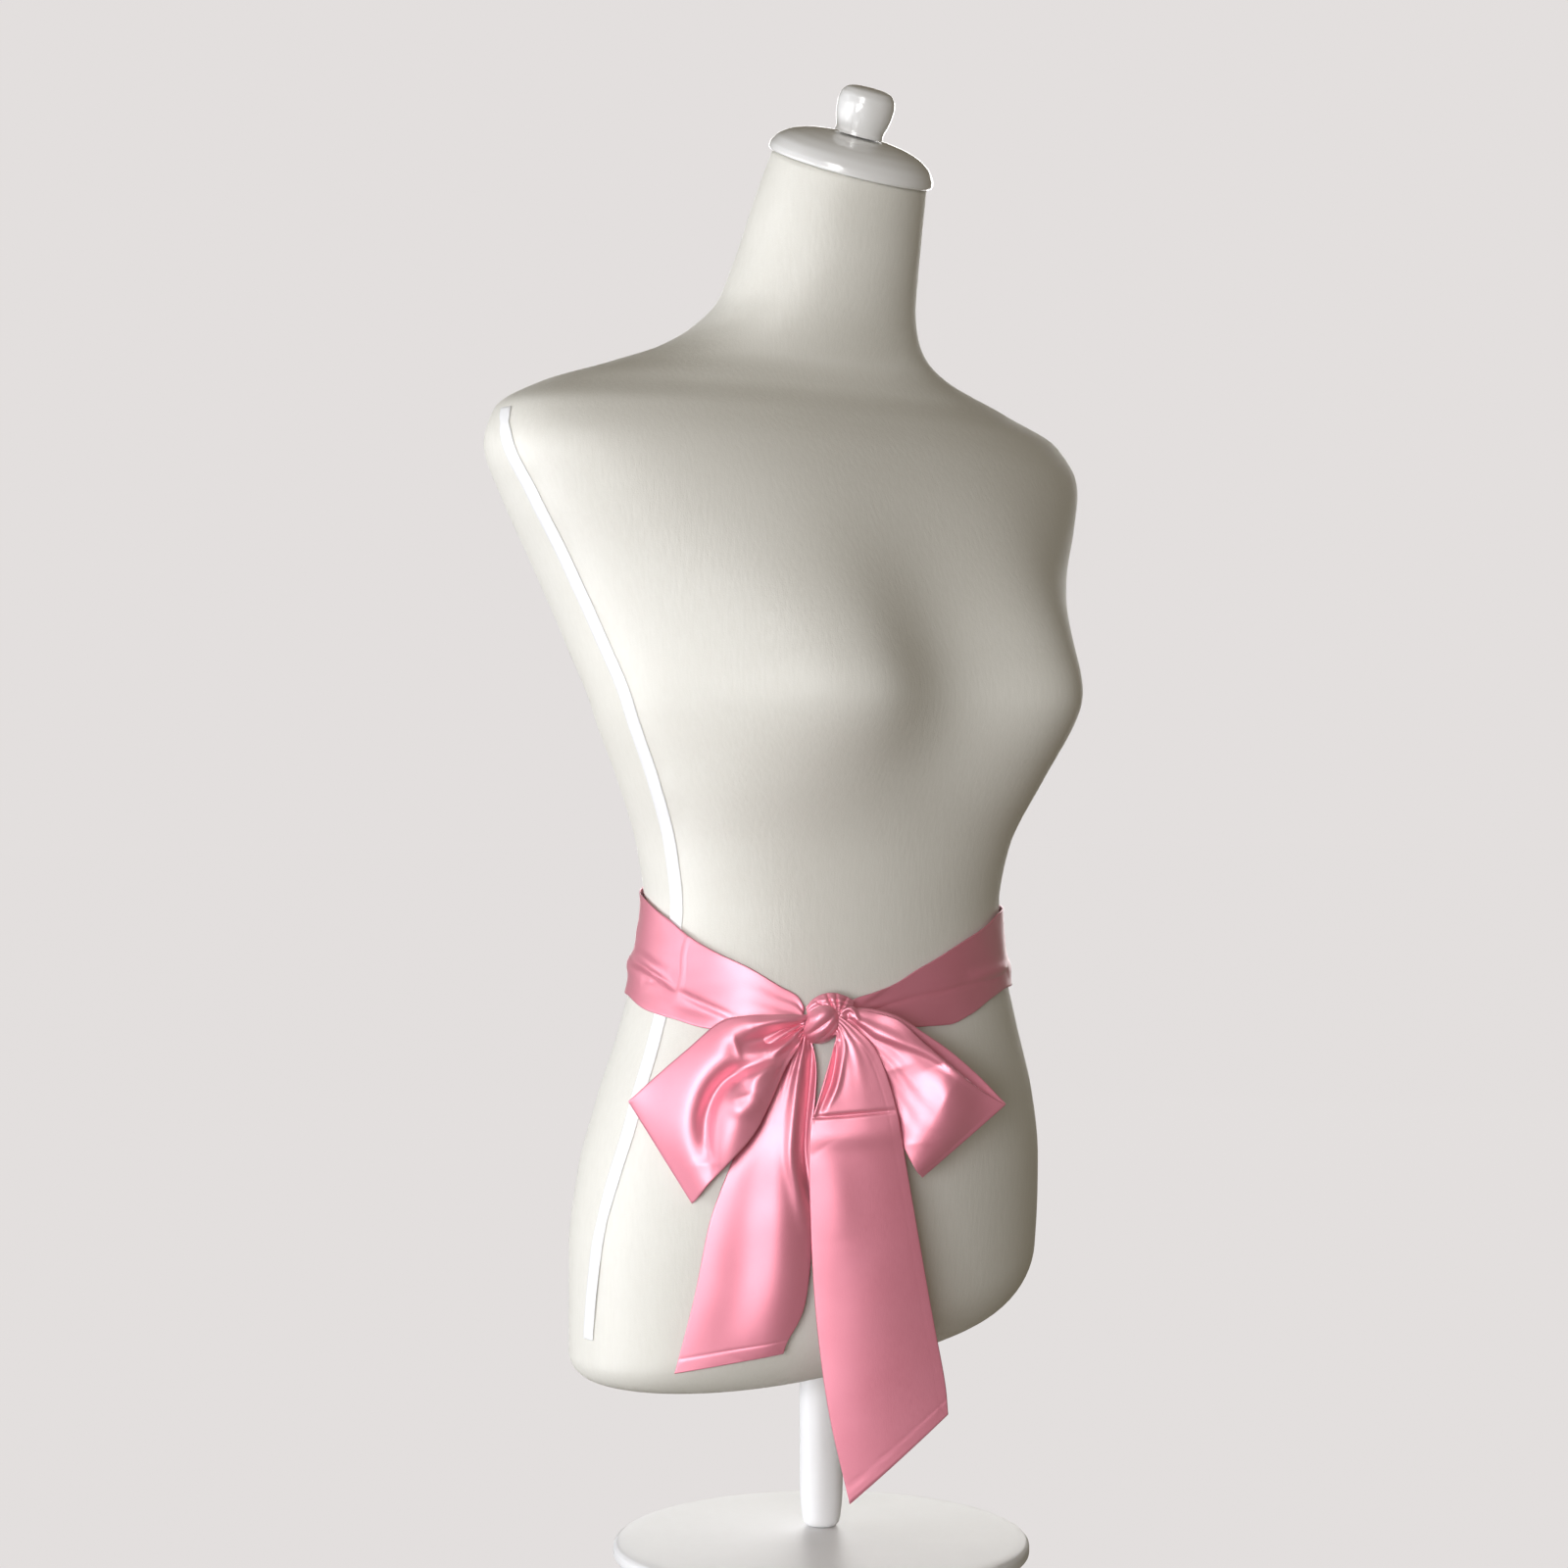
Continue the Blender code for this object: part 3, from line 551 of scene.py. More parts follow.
def wander(a: Grid, b: Grid, length: float) -> Grid:
    """Make a slow uneven wave.

    Formula: the sum of four crossed sines of the two sizes.

    Args:
        a: the points' first size.
        b: the points' second size.
        length: the longest wave's length.

    Returns:
        The wave, from -1 to 1.
    """
    x, y = 2 * np.pi * a / length, 2 * np.pi * b / length
    return 0.4 * np.sin(x + 0.4 * y) + 0.3 * np.sin(0.6 * y - 1.3 * x + 1.0) + 0.2 * np.sin(
        1.9 * x + 0.9 * y + 2.0) + 0.1 * np.sin(2.3 * y - 0.7 * x + 3.0)


def unit(vectors: Grid) -> Grid:
    """Return vectors scaled to length 1."""
    return vectors / np.maximum(np.linalg.norm(vectors, axis=-1, keepdims=True), 1e-12)


def quads(rows: int, columns: int, closed_rows: bool, closed_columns: bool) -> Grid:
    """List the quads of a grid of points numbered row by row.

    Args:
        rows: how many rows the grid has.
        columns: how many points a row has.
        closed_rows: True if the last row joins the first.
        closed_columns: True if each row's last point joins its first.

    Returns:
        The four point numbers of each quad.
    """
    i = np.arange(rows if closed_rows else rows - 1)[:, None]
    j = np.arange(columns if closed_columns else columns - 1)[None, :]
    up, side = (i + 1) % rows, (j + 1) % columns
    corners = (i * columns + j, i * columns + side, up * columns + side, up * columns + j)
    return np.stack(np.broadcast_arrays(*corners), axis=-1).reshape(-1, 4)


def signed_volume(points: Grid, faces: Sequence[Grid]) -> float:
    """Measure a closed mesh.

    Formula: each face is a fan of triangles, and each triangle adds the triple product of its
    corners.

    Args:
        points: the mesh's points.
        faces: arrays of faces, one for each number of corners.

    Returns:
        Six times its volume, below 0 when it is inside out.
    """
    total = 0.0
    for group in faces:
        for k in range(1, group.shape[1] - 1):
            a, b, c = points[group[:, 0]], points[group[:, k]], points[group[:, k + 1]]
            total += float(np.einsum("ij,ij->", a, np.cross(b, c)))
    return total


def make_piece(name: str, points: Grid, faces: Sequence[Grid], material: bpy.types.Material,
               cloth: Grid | None = None) -> bpy.types.Object:
    """Make a smooth mesh piece from points in millimetres, faces turned outwards.

    Args:
        name: the piece's name.
        points: its vertices.
        faces: arrays of faces, one for each number of corners.
        material: its finish.
        cloth: each vertex's place across and along the cloth, in millimetres.

    Returns:
        The new object, linked to the scene.
    """
    if signed_volume(points, faces) < 0.0:
        faces = [group[:, ::-1] for group in faces]
    mesh = bpy.data.meshes.new(name)
    mesh.vertices.add(len(points))
    mesh.vertices.foreach_set("co", (points * MM).astype(np.float32).ravel())
    corners = np.concatenate([group.ravel() for group in faces]).astype(np.int32)
    counts = np.concatenate([np.full(len(group), group.shape[1]) for group in faces]).astype(np.int32)
    starts = np.concatenate([[0], np.cumsum(counts)[:-1]]).astype(np.int32)
    mesh.loops.add(len(corners))
    mesh.loops.foreach_set("vertex_index", corners)
    mesh.polygons.add(len(counts))
    mesh.polygons.foreach_set("loop_start", starts)
    mesh.polygons.foreach_set("use_smooth", np.ones(len(counts), bool))
    mesh.update(calc_edges=True)
    mesh.validate()
    if cloth is not None:
        layer = mesh.uv_layers.new(name="Cloth")
        layer.data.foreach_set("uv", (cloth[corners] * MM).astype(np.float32).ravel())
    mesh.materials.append(material)
    piece = bpy.data.objects.new(name, mesh)
    bpy.context.scene.collection.objects.link(piece)
    return piece


def cloth_lengths(middle: Grid) -> tuple[Grid, Grid]:
    """Measure along a grid of cloth.

    Args:
        middle: the grid, rows along the cloth and columns across.

    Returns:
        Each point's distance across its row, and its distance along its column.
    """
    across = np.linalg.norm(np.diff(middle, axis=1), axis=-1)
    along = np.linalg.norm(np.diff(middle, axis=0), axis=-1)
    return (
        np.hstack([np.zeros((len(middle), 1)), np.cumsum(across, axis=1)]),
        np.vstack([np.zeros((1, middle.shape[1])), np.cumsum(along, axis=0)]),
    )


def closed_cloth(name: str, middle: Grid, wall: float, material: bpy.types.Material,
                 around: bool = False) -> bpy.types.Object:
    """Give a grid of cloth a wall with rounded edges.

    Formula: both faces lie half a wall from the middle surface along its normal. At each free
    edge one more line of points stands half a wall outside the edge, which rounds it.

    Args:
        name: the piece's name.
        middle: the middle surface, rows along the cloth and columns across.
        wall: the cloth's thickness.
        material: its finish.
        around: True if the last row joins the first.

    Returns:
        The piece.
    """
    rows, columns = middle.shape[:2]
    if around:
        along = np.roll(middle, -1, axis=0) - np.roll(middle, 1, axis=0)
    else:
        along = np.gradient(middle, axis=0)
    normal = unit(np.cross(along, np.gradient(middle, axis=1)))
    half = wall / 2
    first_edge = middle[:, 0] + unit(middle[:, 0] - middle[:, 1]) * half
    last_edge = middle[:, -1] + unit(middle[:, -1] - middle[:, -2]) * half
    front = middle + normal * half
    back = (middle - normal * half)[:, ::-1]
    ring = np.concatenate([front, last_edge[:, None], back, first_edge[:, None]], axis=1)
    across, length = cloth_lengths(middle)
    flat = np.stack([across, length], axis=-1)
    ring_flat = np.concatenate([flat, flat[:, -1:], flat[:, ::-1], flat[:, :1]], axis=1)
    size = ring.shape[1]
    points, cloth = ring.reshape(-1, 3), ring_flat.reshape(-1, 2)
    faces = [quads(rows, size, around, True)]
    if not around:
        corner_faces = []
        for row, inner in ((0, 1), (rows - 1, rows - 2)):
            end = middle[row] + unit(middle[row] - middle[inner]) * half
            base = row * size
            line = len(points) + np.arange(columns)
            top = base + np.arange(columns)
            under = base + columns + 1 + np.arange(columns)[::-1]
            pairs = [(top, line), (line, under)]
            strips = [np.stack([a[:-1], a[1:], b[1:], b[:-1]], axis=-1) for a, b in pairs]
            corners = np.array([
                (top[0], line[0], base + size - 1),
                (base + size - 1, line[0], under[0]),
                (line[-1], top[-1], base + columns),
                (under[-1], line[-1], base + columns),
            ])
            turned = row == 0
            faces[0] = np.vstack([faces[0]] + [strip[:, ::-1] if turned else strip for strip in strips])
            corner_faces.append(corners[:, ::-1] if turned else corners)
            points = np.vstack([points, end])
            cloth = np.vstack([cloth, flat[row]])
        faces.append(np.vstack(corner_faces))
    return make_piece(name, points, faces, material, cloth)


# --- The dress form -------------------------------------------------------------------------


class BodyRow(NamedTuple):
    """One level of the form: a squared oval, its centre and its lean."""

    height: float
    half_width: float
    half_depth: float
    centre_y: float
    squareness: float
    tilt: float


BODY_ROWS = tuple(BodyRow(*row) for row in (
    (795.0, 46.5, 43.6, -25.6, 2.00, 22.6),
    (787.0, 48.0, 44.6, -22.4, 2.00, 21.5),
    (770.0, 50.3, 47.2, -15.6, 2.00, 17.0),
    (750.0, 52.3, 51.2, -8.0, 2.00, 9.0),
    (735.0, 55.0, 54.0, -1.8, 2.00, 3.0),
    (720.0, 59.3, 56.0, 4.7, 2.00, 0.0),
    (705.0, 70.9, 60.0, 15.7, 2.00, 0.0),
    (693.0, 89.6, 62.0, 25.3, 2.00, 0.0),
    (681.0, 121.9, 65.0, 33.8, 2.10, 0.0),
    (667.0, 164.8, 73.0, 35.3, 2.20, 0.0),
    (650.0, 195.8, 83.0, 28.8, 2.30, 0.0),
    (630.0, 203.2, 93.0, 24.0, 2.30, 0.0),
    (600.0, 191.6, 100.0, 18.3, 2.30, 0.0),
    (565.0, 174.2, 102.0, 12.7, 2.30, 0.0),
    (525.0, 159.3, 100.0, 3.0, 2.30, 0.0),
    (485.0, 149.1, 96.0, -8.5, 2.25, 0.0),
    (445.0, 132.0, 90.0, -7.4, 2.20, 0.0),
    (405.0, 115.4, 86.0, -3.3, 2.15, 0.0),
    (375.0, 110.7, 85.0, -2.3, 2.10, 0.0),
    (345.0, 114.5, 87.0, -0.9, 2.10, 0.0),
    (305.0, 124.9, 93.0, 0.5, 2.10, 0.0),
    (265.0, 137.4, 101.0, 3.0, 2.10, 0.0),
    (225.0, 145.6, 107.0, 7.8, 2.10, 0.0),
    (185.0, 148.6, 108.0, 12.4, 2.10, 0.0),
    (100.0, 146.0, 103.0, 18.0, 2.10, 0.0),
))


@dataclass(frozen=True)
class FormShape:
    """The form's surface as a function of an angle round it and a height."""

    rows: tuple[BodyRow, ...] = BODY_ROWS
    bust_side: float = 80.3
    bust_height: float = 497.7
    bust_depth: float = 35.2
    bust_width: float = 59.9
    bust_reach_up: float = 69.6
    bust_reach_down: float = 56.1

    def column(self, name: str, height: Grid) -> Grid:
        """Interpolate one column of the table at the given heights."""
        return table_column(self.rows, "height", name, height)

    def point(self, angle: Grid, height: Grid) -> Grid:
        """Return the surface's points.

        Formula: a superellipse at each height, leaned by the row's tilt, with two rounded
        mounds pushed forward on the front half.

        Args:
            angle: radians from +X towards +Y.
            height: millimetres on the table's scale.

        Returns:
            The points in millimetres.
        """
        angle, height = np.asarray(angle, float), np.asarray(height, float)
        half_depth = self.column("half_depth", height)
        power = 2.0 / self.column("squareness", height)
        tilt = np.radians(self.column("tilt", height))
        side = np.sign(np.cos(angle)) * np.abs(np.cos(angle)) ** power
        depth = np.sign(np.sin(angle)) * np.abs(np.sin(angle)) ** power
        x = self.column("half_width", height) * side
        y = self.column("centre_y", height) + half_depth * np.cos(tilt) * depth
        z = height + half_depth * np.sin(tilt) * depth
        facing = np.clip(-np.sin(angle), 0.0, 1.0)
        front = facing * facing * (3.0 - 2.0 * facing)
        rise = height - self.bust_height
        reach = np.where(rise > 0.0, self.bust_reach_up, self.bust_reach_down)
        for side_x in (-self.bust_side, self.bust_side):
            mound = np.exp(-((x - side_x) / self.bust_width) ** 2 - (rise / reach) ** 2)
            y = y - self.bust_depth * front * mound
        return np.stack(np.broadcast_arrays(x, y, z), axis=-1)

    def skin(self, angle: Grid, height: Grid, lift: Grid) -> Grid:
        """Return points that lie off the surface.

        Formula: the normal is the cross product of a short step round and a short step up.

        Args:
            angle: radians from +X towards +Y.
            height: millimetres on the table's scale.
            lift: millimetres out along the normal.

        Returns:
            The points in millimetres.
        """
        turn, rise = 0.004, 0.4
        around = self.point(angle + turn, height) - self.point(angle - turn, height)
        upward = self.point(angle, height + rise) - self.point(angle, height - rise)
        normal = unit(np.cross(around, upward))
        return self.point(angle, height) + normal * np.asarray(lift, float)[..., None]


class TapeRow(NamedTuple):
    """Where the side tape is at one height."""

    height: float
    angle: float


@dataclass(frozen=True)
class DressForm:
    """The covered form, its side tapes, and the round lower edge."""

    shape: FormShape
    cover: bpy.types.Material
    tape: bpy.types.Material
    columns: int = 216
    ring_gap: float = 2.6
    underside_height: float = 118.0
    underside_slope: float = 0.07
    underside_disc: float = 30.0
    underside_rings: int = 5
    underside_level: float = 150.0
    hem_radius: float = 29.0
    hem_swing: float = 16.0
    hem_angle: float = 40.0
    hem_steps: int = 16
    tape_width: float = 10.0
    tape_wall: float = 0.4
    tape_crown: float = 0.25
    tape_length_points: int = 320
    tape_width_points: int = 9
    seam_gap: float = 0.12
    tape_end_right: float = 136.0
    tape_end_left: float = 176.0
    tape_rows: tuple[TapeRow, ...] = (
        TapeRow(649.0, 177.8), TapeRow(630.0, 180.8), TapeRow(600.0, 181.6), TapeRow(540.0, 181.8),
        TapeRow(445.0, 183.5), TapeRow(390.0, 183.0), TapeRow(310.0, 184.0), TapeRow(255.0, 183.5),
        TapeRow(200.0, 179.5), TapeRow(140.0, 175.5),
    )

    def levels(self) -> Grid:
        """Return the heights of the even rings from the neck down."""
        top, bottom = self.shape.rows[0].height, self.shape.rows[-2].height
        return np.linspace(top, bottom, round((top - bottom) / self.ring_gap) + 1)

    def build_body(self) -> bpy.types.Object:
        """Build the covered form: even rings, a rounded lower edge and both closed ends.

        Formula: the lower edge is a quarter circle turned in at each angle, whose radius and
        start follow a slow cosine round the form, and straight lines close the underside.

        Returns:
            The piece.
        """
        angle = np.linspace(0.0, 2 * np.pi, self.columns, endpoint=False)
        wall = self.shape.point(angle[None, :], self.levels()[:, None])
        radius = self.hem_radius + self.hem_swing * np.cos(angle + math.radians(self.hem_angle))
        outline = self.shape.point(angle, np.full_like(angle, self.underside_level))
        start = self.underside_height + self.underside_slope * outline[:, 0] + radius
        turn = np.linspace(0.0, np.pi / 2, self.hem_steps + 1)[:, None]
        hem = self.shape.point(angle[None, :], start - radius * np.sin(turn))
        centre = np.array([0.0, float(self.shape.column("centre_y", np.array(self.underside_level)))])
        spoke = hem[..., :2] - centre
        reach = np.linalg.norm(spoke, axis=-1, keepdims=True)
        inset = (radius * (1 - np.cos(turn)))[..., None]
        hem[..., :2] = centre + spoke * (1 - inset / reach)
        disc = np.stack([
            self.underside_disc * np.cos(angle),
            self.underside_disc * np.sin(angle),
            np.full_like(angle, self.underside_height),
        ], axis=-1)
        share = np.linspace(0.0, 1.0, self.underside_rings + 1)[1:, None, None]
        floor = hem[-1][None] * (1 - share) + disc[None] * share
        rings = np.concatenate([wall, hem, floor])
        crown = rings[0].mean(axis=0)
        points = np.vstack([rings.reshape(-1, 3), crown, [0.0, 0.0, self.underside_height]])
        j = np.arange(self.columns)
        k = (j + 1) % self.columns
        last = (len(rings) - 1) * self.columns
        top = np.full_like(j, len(points) - 2)
        caps = np.vstack([np.stack([k, j, top], -1), np.stack([last + j, last + k, top + 1], -1)])
        faces = [quads(len(rings), self.columns, False, True), caps]
        return make_piece("form_cover", points, faces, self.cover)

    def build_tape(self, name: str, mirrored: bool) -> bpy.types.Object:
        """Build the narrow tape down one side of the form.

        Formula: the tape's line follows its table of angles. Half its width is turned into an
        angle by the length of a small step round the form, and a parabola crowns it.

        Args:
            name: the piece's name.
            mirrored: True for the form's left side.

        Returns:
            The piece.
        """
        lowest = self.tape_end_left if mirrored else self.tape_end_right
        heights = np.linspace(self.tape_rows[0].height - 1.0, lowest, self.tape_length_points)
        angle = table_column(self.tape_rows, "height", "angle", heights)
        angle = np.radians(180.0 - angle if mirrored else angle)
        step = 0.01
        moved = self.shape.point(angle + step, heights) - self.shape.point(angle, heights)
        half = self.tape_width / 2 * step / np.linalg.norm(moved, axis=1)
        column = np.linspace(-1.0, 1.0, self.tape_width_points)[None, :]
        grid_angle = angle[:, None] + half[:, None] * column
        grid_height = np.broadcast_to(heights[:, None], grid_angle.shape)
        lift = self.seam_gap + self.tape_wall / 2 + self.tape_crown * (1 - column ** 2)
        lift = np.broadcast_to(lift, grid_angle.shape)
        return closed_cloth(name, self.shape.skin(grid_angle, grid_height, lift), self.tape_wall, self.tape)

    def build(self) -> None:
        """Build the form and its tapes and put them in place of their solids."""
        for piece, node, slot in (
            (self.build_body(), "form_body", "cover"),
            (self.build_tape("tape_right", False), "side_tape_right", "tape"),
            (self.build_tape("tape_left", True), "side_tape_left", "tape"),
        ):
            place(piece, slot, node)


class ProfileRow(NamedTuple):
    """A point of a turned outline."""

    radius: float
    height: float


@dataclass(frozen=True)
class TurnedPiece:
    """A piece turned from a rounded outline about an axis that may lean forward."""

    name: str
    node: str
    slot: str
    material: bpy.types.Material
    outline: tuple[ProfileRow, ...]
    foot: tuple[float, float, float] = (0.0, 0.0, 0.0)
    tilt: float = 0.0
    rounds: int = 160
    cuts: int = 3
    cut_share: float = 0.18

    def build(self) -> None:
        """Build the piece.

        Formula: the outline's corners are cut three times, each time at a fixed share of both
        sides, then each point is carried round the axis, leaned and moved to its foot.
        """
        line = np.array([(row.radius, row.height) for row in self.outline], float)
        near, far = 1.0 - self.cut_share, self.cut_share
        for _ in range(self.cuts):
            inner = np.empty((2 * (len(line) - 1), 2))
            inner[0::2] = near * line[:-1] + far * line[1:]
            inner[1::2] = far * line[:-1] + near * line[1:]
            line = np.vstack([line[:1], inner[1:-1], line[-1:]])
        radius, height = line[1:-1, 0], line[1:-1, 1]
        turn = np.linspace(0.0, 2 * np.pi, self.rounds, endpoint=False)
        x = radius[:, None] * np.cos(turn)
        y = radius[:, None] * np.sin(turn)
        z = np.broadcast_to(height[:, None], x.shape)
        points = np.vstack([
            np.stack([x, y, z], axis=-1).reshape(-1, 3),
            [0.0, 0.0, line[0, 1]],
            [0.0, 0.0, line[-1, 1]],
        ])
        lean = math.radians(self.tilt)
        forward = points[:, 1] * math.cos(lean) - points[:, 2] * math.sin(lean)
        upward = points[:, 1] * math.sin(lean) + points[:, 2] * math.cos(lean)
        points = np.stack([points[:, 0], forward, upward], axis=-1) + np.array(self.foot)
        j = np.arange(self.rounds)
        k = (j + 1) % self.rounds
        last = (len(radius) - 1) * self.rounds
        top = np.full_like(j, len(points) - 2)
        caps = np.vstack([np.stack([k, j, top], -1), np.stack([last + j, last + k, top + 1], -1)])
        faces = [quads(len(radius), self.rounds, False, True), caps]
        place(make_piece(self.name, points, faces, self.material), self.slot, self.node)


CAP_FOOT = (0.0, -25.6, 795.0)
CAP_TILT = 22.6
CAP_OUTLINE = tuple(ProfileRow(*row) for row in (
    (0.0, 19.2), (10.0, 19.1), (20.0, 18.4), (30.0, 16.8), (38.5, 14.0), (44.6, 9.8),
    (47.8, 5.0), (48.4, 2.0), (47.8, 0.7), (46.2, 0.5), (0.0, 0.5),
))
FINIAL_OUTLINE = tuple(ProfileRow(*row) for row in (
    (0.0, 46.6), (8.0, 46.4), (12.8, 45.2), (15.6, 42.0), (16.5, 37.5), (16.2, 32.0),
    (15.2, 27.0), (14.0, 23.4), (13.7, 21.2), (14.4, 19.5), (0.0, 19.5),
))
POST_OUTLINE = tuple(ProfileRow(*row) for row in (
    (0.0, 117.7), (27.0, 117.7), (28.0, 116.7), (28.0, 112.5), (27.0, 111.5),
    (13.5, 110.5), (12.5, 109.0), (12.5, 15.3), (0.0, 15.3),
))
BASE_OUTLINE = tuple(ProfileRow(*row) for row in (
    (0.0, 15.0), (22.0, 15.0), (112.0, 9.5), (118.0, 8.2), (120.0, 6.0), (120.0, 1.2),
    (118.8, 0.0), (0.0, 0.0),
))


# --- The sash -------------------------------------------------------------------------------


class BandRow(NamedTuple):
    """The band's two edges and its lift off the form at one angle."""

    angle: float
    top: float
    bottom: float
    lift: float


BAND_ROWS = tuple(BandRow(*row) for row in (
    (233.0, 321.5, 306.5, 2.6),
    (231.0, 327.0, 307.5, 2.3),
    (226.0, 332.0, 308.5, 2.0),
    (214.5, 343.0, 309.0, 1.9),
    (204.0, 350.0, 310.0, 1.9),
    (192.0, 358.5, 314.0, 1.9),
    (179.0, 369.0, 317.5, 1.9),
    (158.0, 380.0, 324.5, 1.9),
    (125.0, 386.0, 325.0, 1.9),
    (90.0, 387.0, 324.0, 1.9),
    (50.0, 384.0, 323.5, 1.9),
    (15.0, 379.0, 324.0, 1.9),
    (-20.0, 373.0, 325.5, 1.9),
    (-48.0, 369.0, 326.0, 1.9),
    (-62.0, 362.0, 322.0, 1.9),
    (-75.5, 354.0, 313.5, 1.9),
    (-84.5, 347.0, 309.0, 1.9),
    (-92.5, 340.0, 309.0, 1.9),
    (-100.0, 332.5, 309.5, 2.0),
    (-107.0, 328.0, 309.0, 2.2),
    (-112.5, 325.0, 308.0, 2.4),
    (-115.6, 321.5, 307.0, 2.6),
))
BAND_FOLDS = (
    Fold(((176.0, 336.0), (120.0, 345.0), (60.0, 341.0)), 5.0, 3.0),
    Fold(((70.0, 343.0), (20.0, 338.0), (-42.0, 336.0)), 5.0, 3.2),
    Fold(((150.0, 360.0), (100.0, 366.0), (55.0, 358.0)), 4.0, 1.4),
    Fold(((60.0, 366.0), (20.0, 360.0), (-30.0, 356.0)), 4.0, 1.4),
    Fold(((-46.0, 335.0), (-60.0, 331.5), (-74.0, 330.0), (-86.5, 326.8), (-98.0, 323.3), (-110.0, 317.5)),
         1.0, -2.0, FoldShape.CREASE),
    Fold(((-44.0, 338.0), (-58.0, 336.5), (-72.0, 335.0)), 3.2, 2.4),
    Fold(((-113.0, 319.0), (-107.5, 325.0), (-100.5, 333.5)), 6.0, 1.5, FoldShape.LAP),
    Fold(((191.6, 364.0), (190.5, 350.0), (191.5, 338.0), (191.5, 326.0)), 1.7, 1.0),
    Fold(((190.5, 329.0), (202.0, 322.5), (214.0, 315.0)), 1.9, 1.0),
    Fold(((192.0, 322.0), (203.0, 317.5), (212.0, 312.5)), 2.6, -0.6),
    Fold(((156.0, 348.0), (170.0, 345.5), (184.0, 338.5)), 3.0, 1.3),
    Fold(((156.0, 343.0), (170.0, 340.5), (181.0, 335.5), (190.0, 329.5)), 1.7, -1.2),
    Fold(((172.0, 333.4), (180.0, 332.8)), 1.2, -0.5),
    Fold(((232.0, 311.0), (222.0, 312.0), (206.0, 312.0)), 2.0, -0.7),
)


@dataclass(frozen=True)
class WaistBand:
    """The stretch of the sash round the waist."""

    shape: FormShape
    satin: bpy.types.Material
    wall: float = 0.7
    along: int = 520
    across: int = 46
    mm_per_degree: float = 1.95
    deepest: float = -0.75
    gather: float = 0.25
    gather_waves: float = 3.5
    gather_reach: float = 26.0
    ripple: float = 0.22
    ripple_length: float = 58.0
    ripple_squeeze: float = 2.2
    flat_width: float = 0.060
    flat_length: float = 0.650

    def middle(self) -> Grid:
        """Return the band's middle surface.

        Formula: each point lies on the form's skin at the row's angle, between the top and
        bottom edges, lifted by the row's lift, the folds, gathers that fan out of the knot
        and a slow ripple.

        Returns:
            The surface's points, rows along the band and columns across.
        """
        angles = [row.angle for row in BAND_ROWS]
        angle = np.linspace(angles[0], angles[-1], self.along)[:, None]
        top = table_column(BAND_ROWS, "angle", "top", angle)
        bottom = table_column(BAND_ROWS, "angle", "bottom", angle)
        lift = table_column(BAND_ROWS, "angle", "lift", angle)
        t = np.linspace(0.0, 1.0, self.across)[None, :]
        height = top * (1 - t) + bottom * t
        grid = np.broadcast_to(angle, height.shape)
        raised = fold_height(BAND_FOLDS, grid, height, self.mm_per_degree)
        near = np.minimum(angles[0] - angle, angle - angles[-1]) * self.mm_per_degree
        gather = self.gather * np.exp(-(near / self.gather_reach) ** 2)
        raised = raised + gather * np.sin(2 * np.pi * self.gather_waves * t + 0.6) * np.sin(np.pi * t) ** 0.5
        wave = wander(grid * self.mm_per_degree, height * self.ripple_squeeze, self.ripple_length)
        raised = raised + self.ripple * (1 + wave)
        raised = np.maximum(raised, self.deepest)
        return self.shape.skin(np.radians(grid), height, lift + raised)

    def build(self) -> None:
        """Build the band and put it in place of its solid."""
        piece = closed_cloth("satin_band", self.middle(), self.wall, self.satin)
        place(piece, "satin", "sash_band")


class Section(NamedTuple):
    """One line across a bow piece: both ends, how far it stands out, and its gather."""

    a_across: float
    a_up: float
    b_across: float
    b_up: float
    out_a: float
    out_mid: float
    out_b: float
    pleat: float
    steps: int


LOOP_RIGHT_SECTIONS = tuple(Section(*row) for row in (
    (-2.5, 3.4, -2.5, -9.6, 14.2, 14.4, 14.2, 0.3, 2),
    (-8.8, 2.2, -8.6, -8.4, 14.4, 15.6, 14.8, 0.8, 2),
    (-16.0, 2.5, -12.5, -15.0, 16.6, 20.2, 18.6, 1.5, 2),
    (-26.0, 2.5, -20.0, -27.0, 18.4, 25.0, 23.0, 1.4, 3),
    (-40.0, 2.0, -28.0, -45.0, 19.0, 29.5, 28.0, 0.8, 3),
    (-55.0, -2.0, -36.0, -60.0, 18.0, 30.5, 31.0, 0.3, 3),
    (-73.0, -17.0, -48.0, -74.0, 16.5, 28.0, 31.0, 0.0, 3),
    (-89.0, -31.0, -60.0, -87.0, 13.5, 23.0, 27.5, 0.0, 3),
    (-101.0, -42.0, -67.0, -96.0, 11.0, 17.5, 23.0, 0.0, 2),
    (-104.3, -45.0, -69.5, -98.5, 8.8, 15.0, 20.8, 0.0, 2),
    (-101.5, -43.0, -67.5, -96.5, 6.6, 12.6, 18.6, 0.0, 2),
    (-88.0, -31.0, -60.0, -86.0, 7.5, 15.0, 20.4, 0.0, 3),
    (-72.0, -17.0, -48.0, -73.0, 9.0, 16.8, 22.2, 0.0, 3),
    (-55.0, -2.0, -36.0, -59.0, 10.5, 17.4, 22.2, 0.0, 3),
    (-40.0, 1.6, -28.0, -44.0, 13.4, 19.0, 21.4, 0.3, 3),
    (-26.0, 2.0, -20.0, -26.0, 14.0, 17.8, 18.8, 0.5, 2),
    (-16.0, 2.0, -12.5, -14.0, 13.2, 15.0, 15.4, 0.5, 2),
    (-8.8, 1.8, -8.6, -8.2, 11.6, 12.4, 12.2, 0.3, 2),
    (-2.5, 3.8, -2.5, -10.0, 11.0, 11.2, 11.0, 0.2, 0),
))
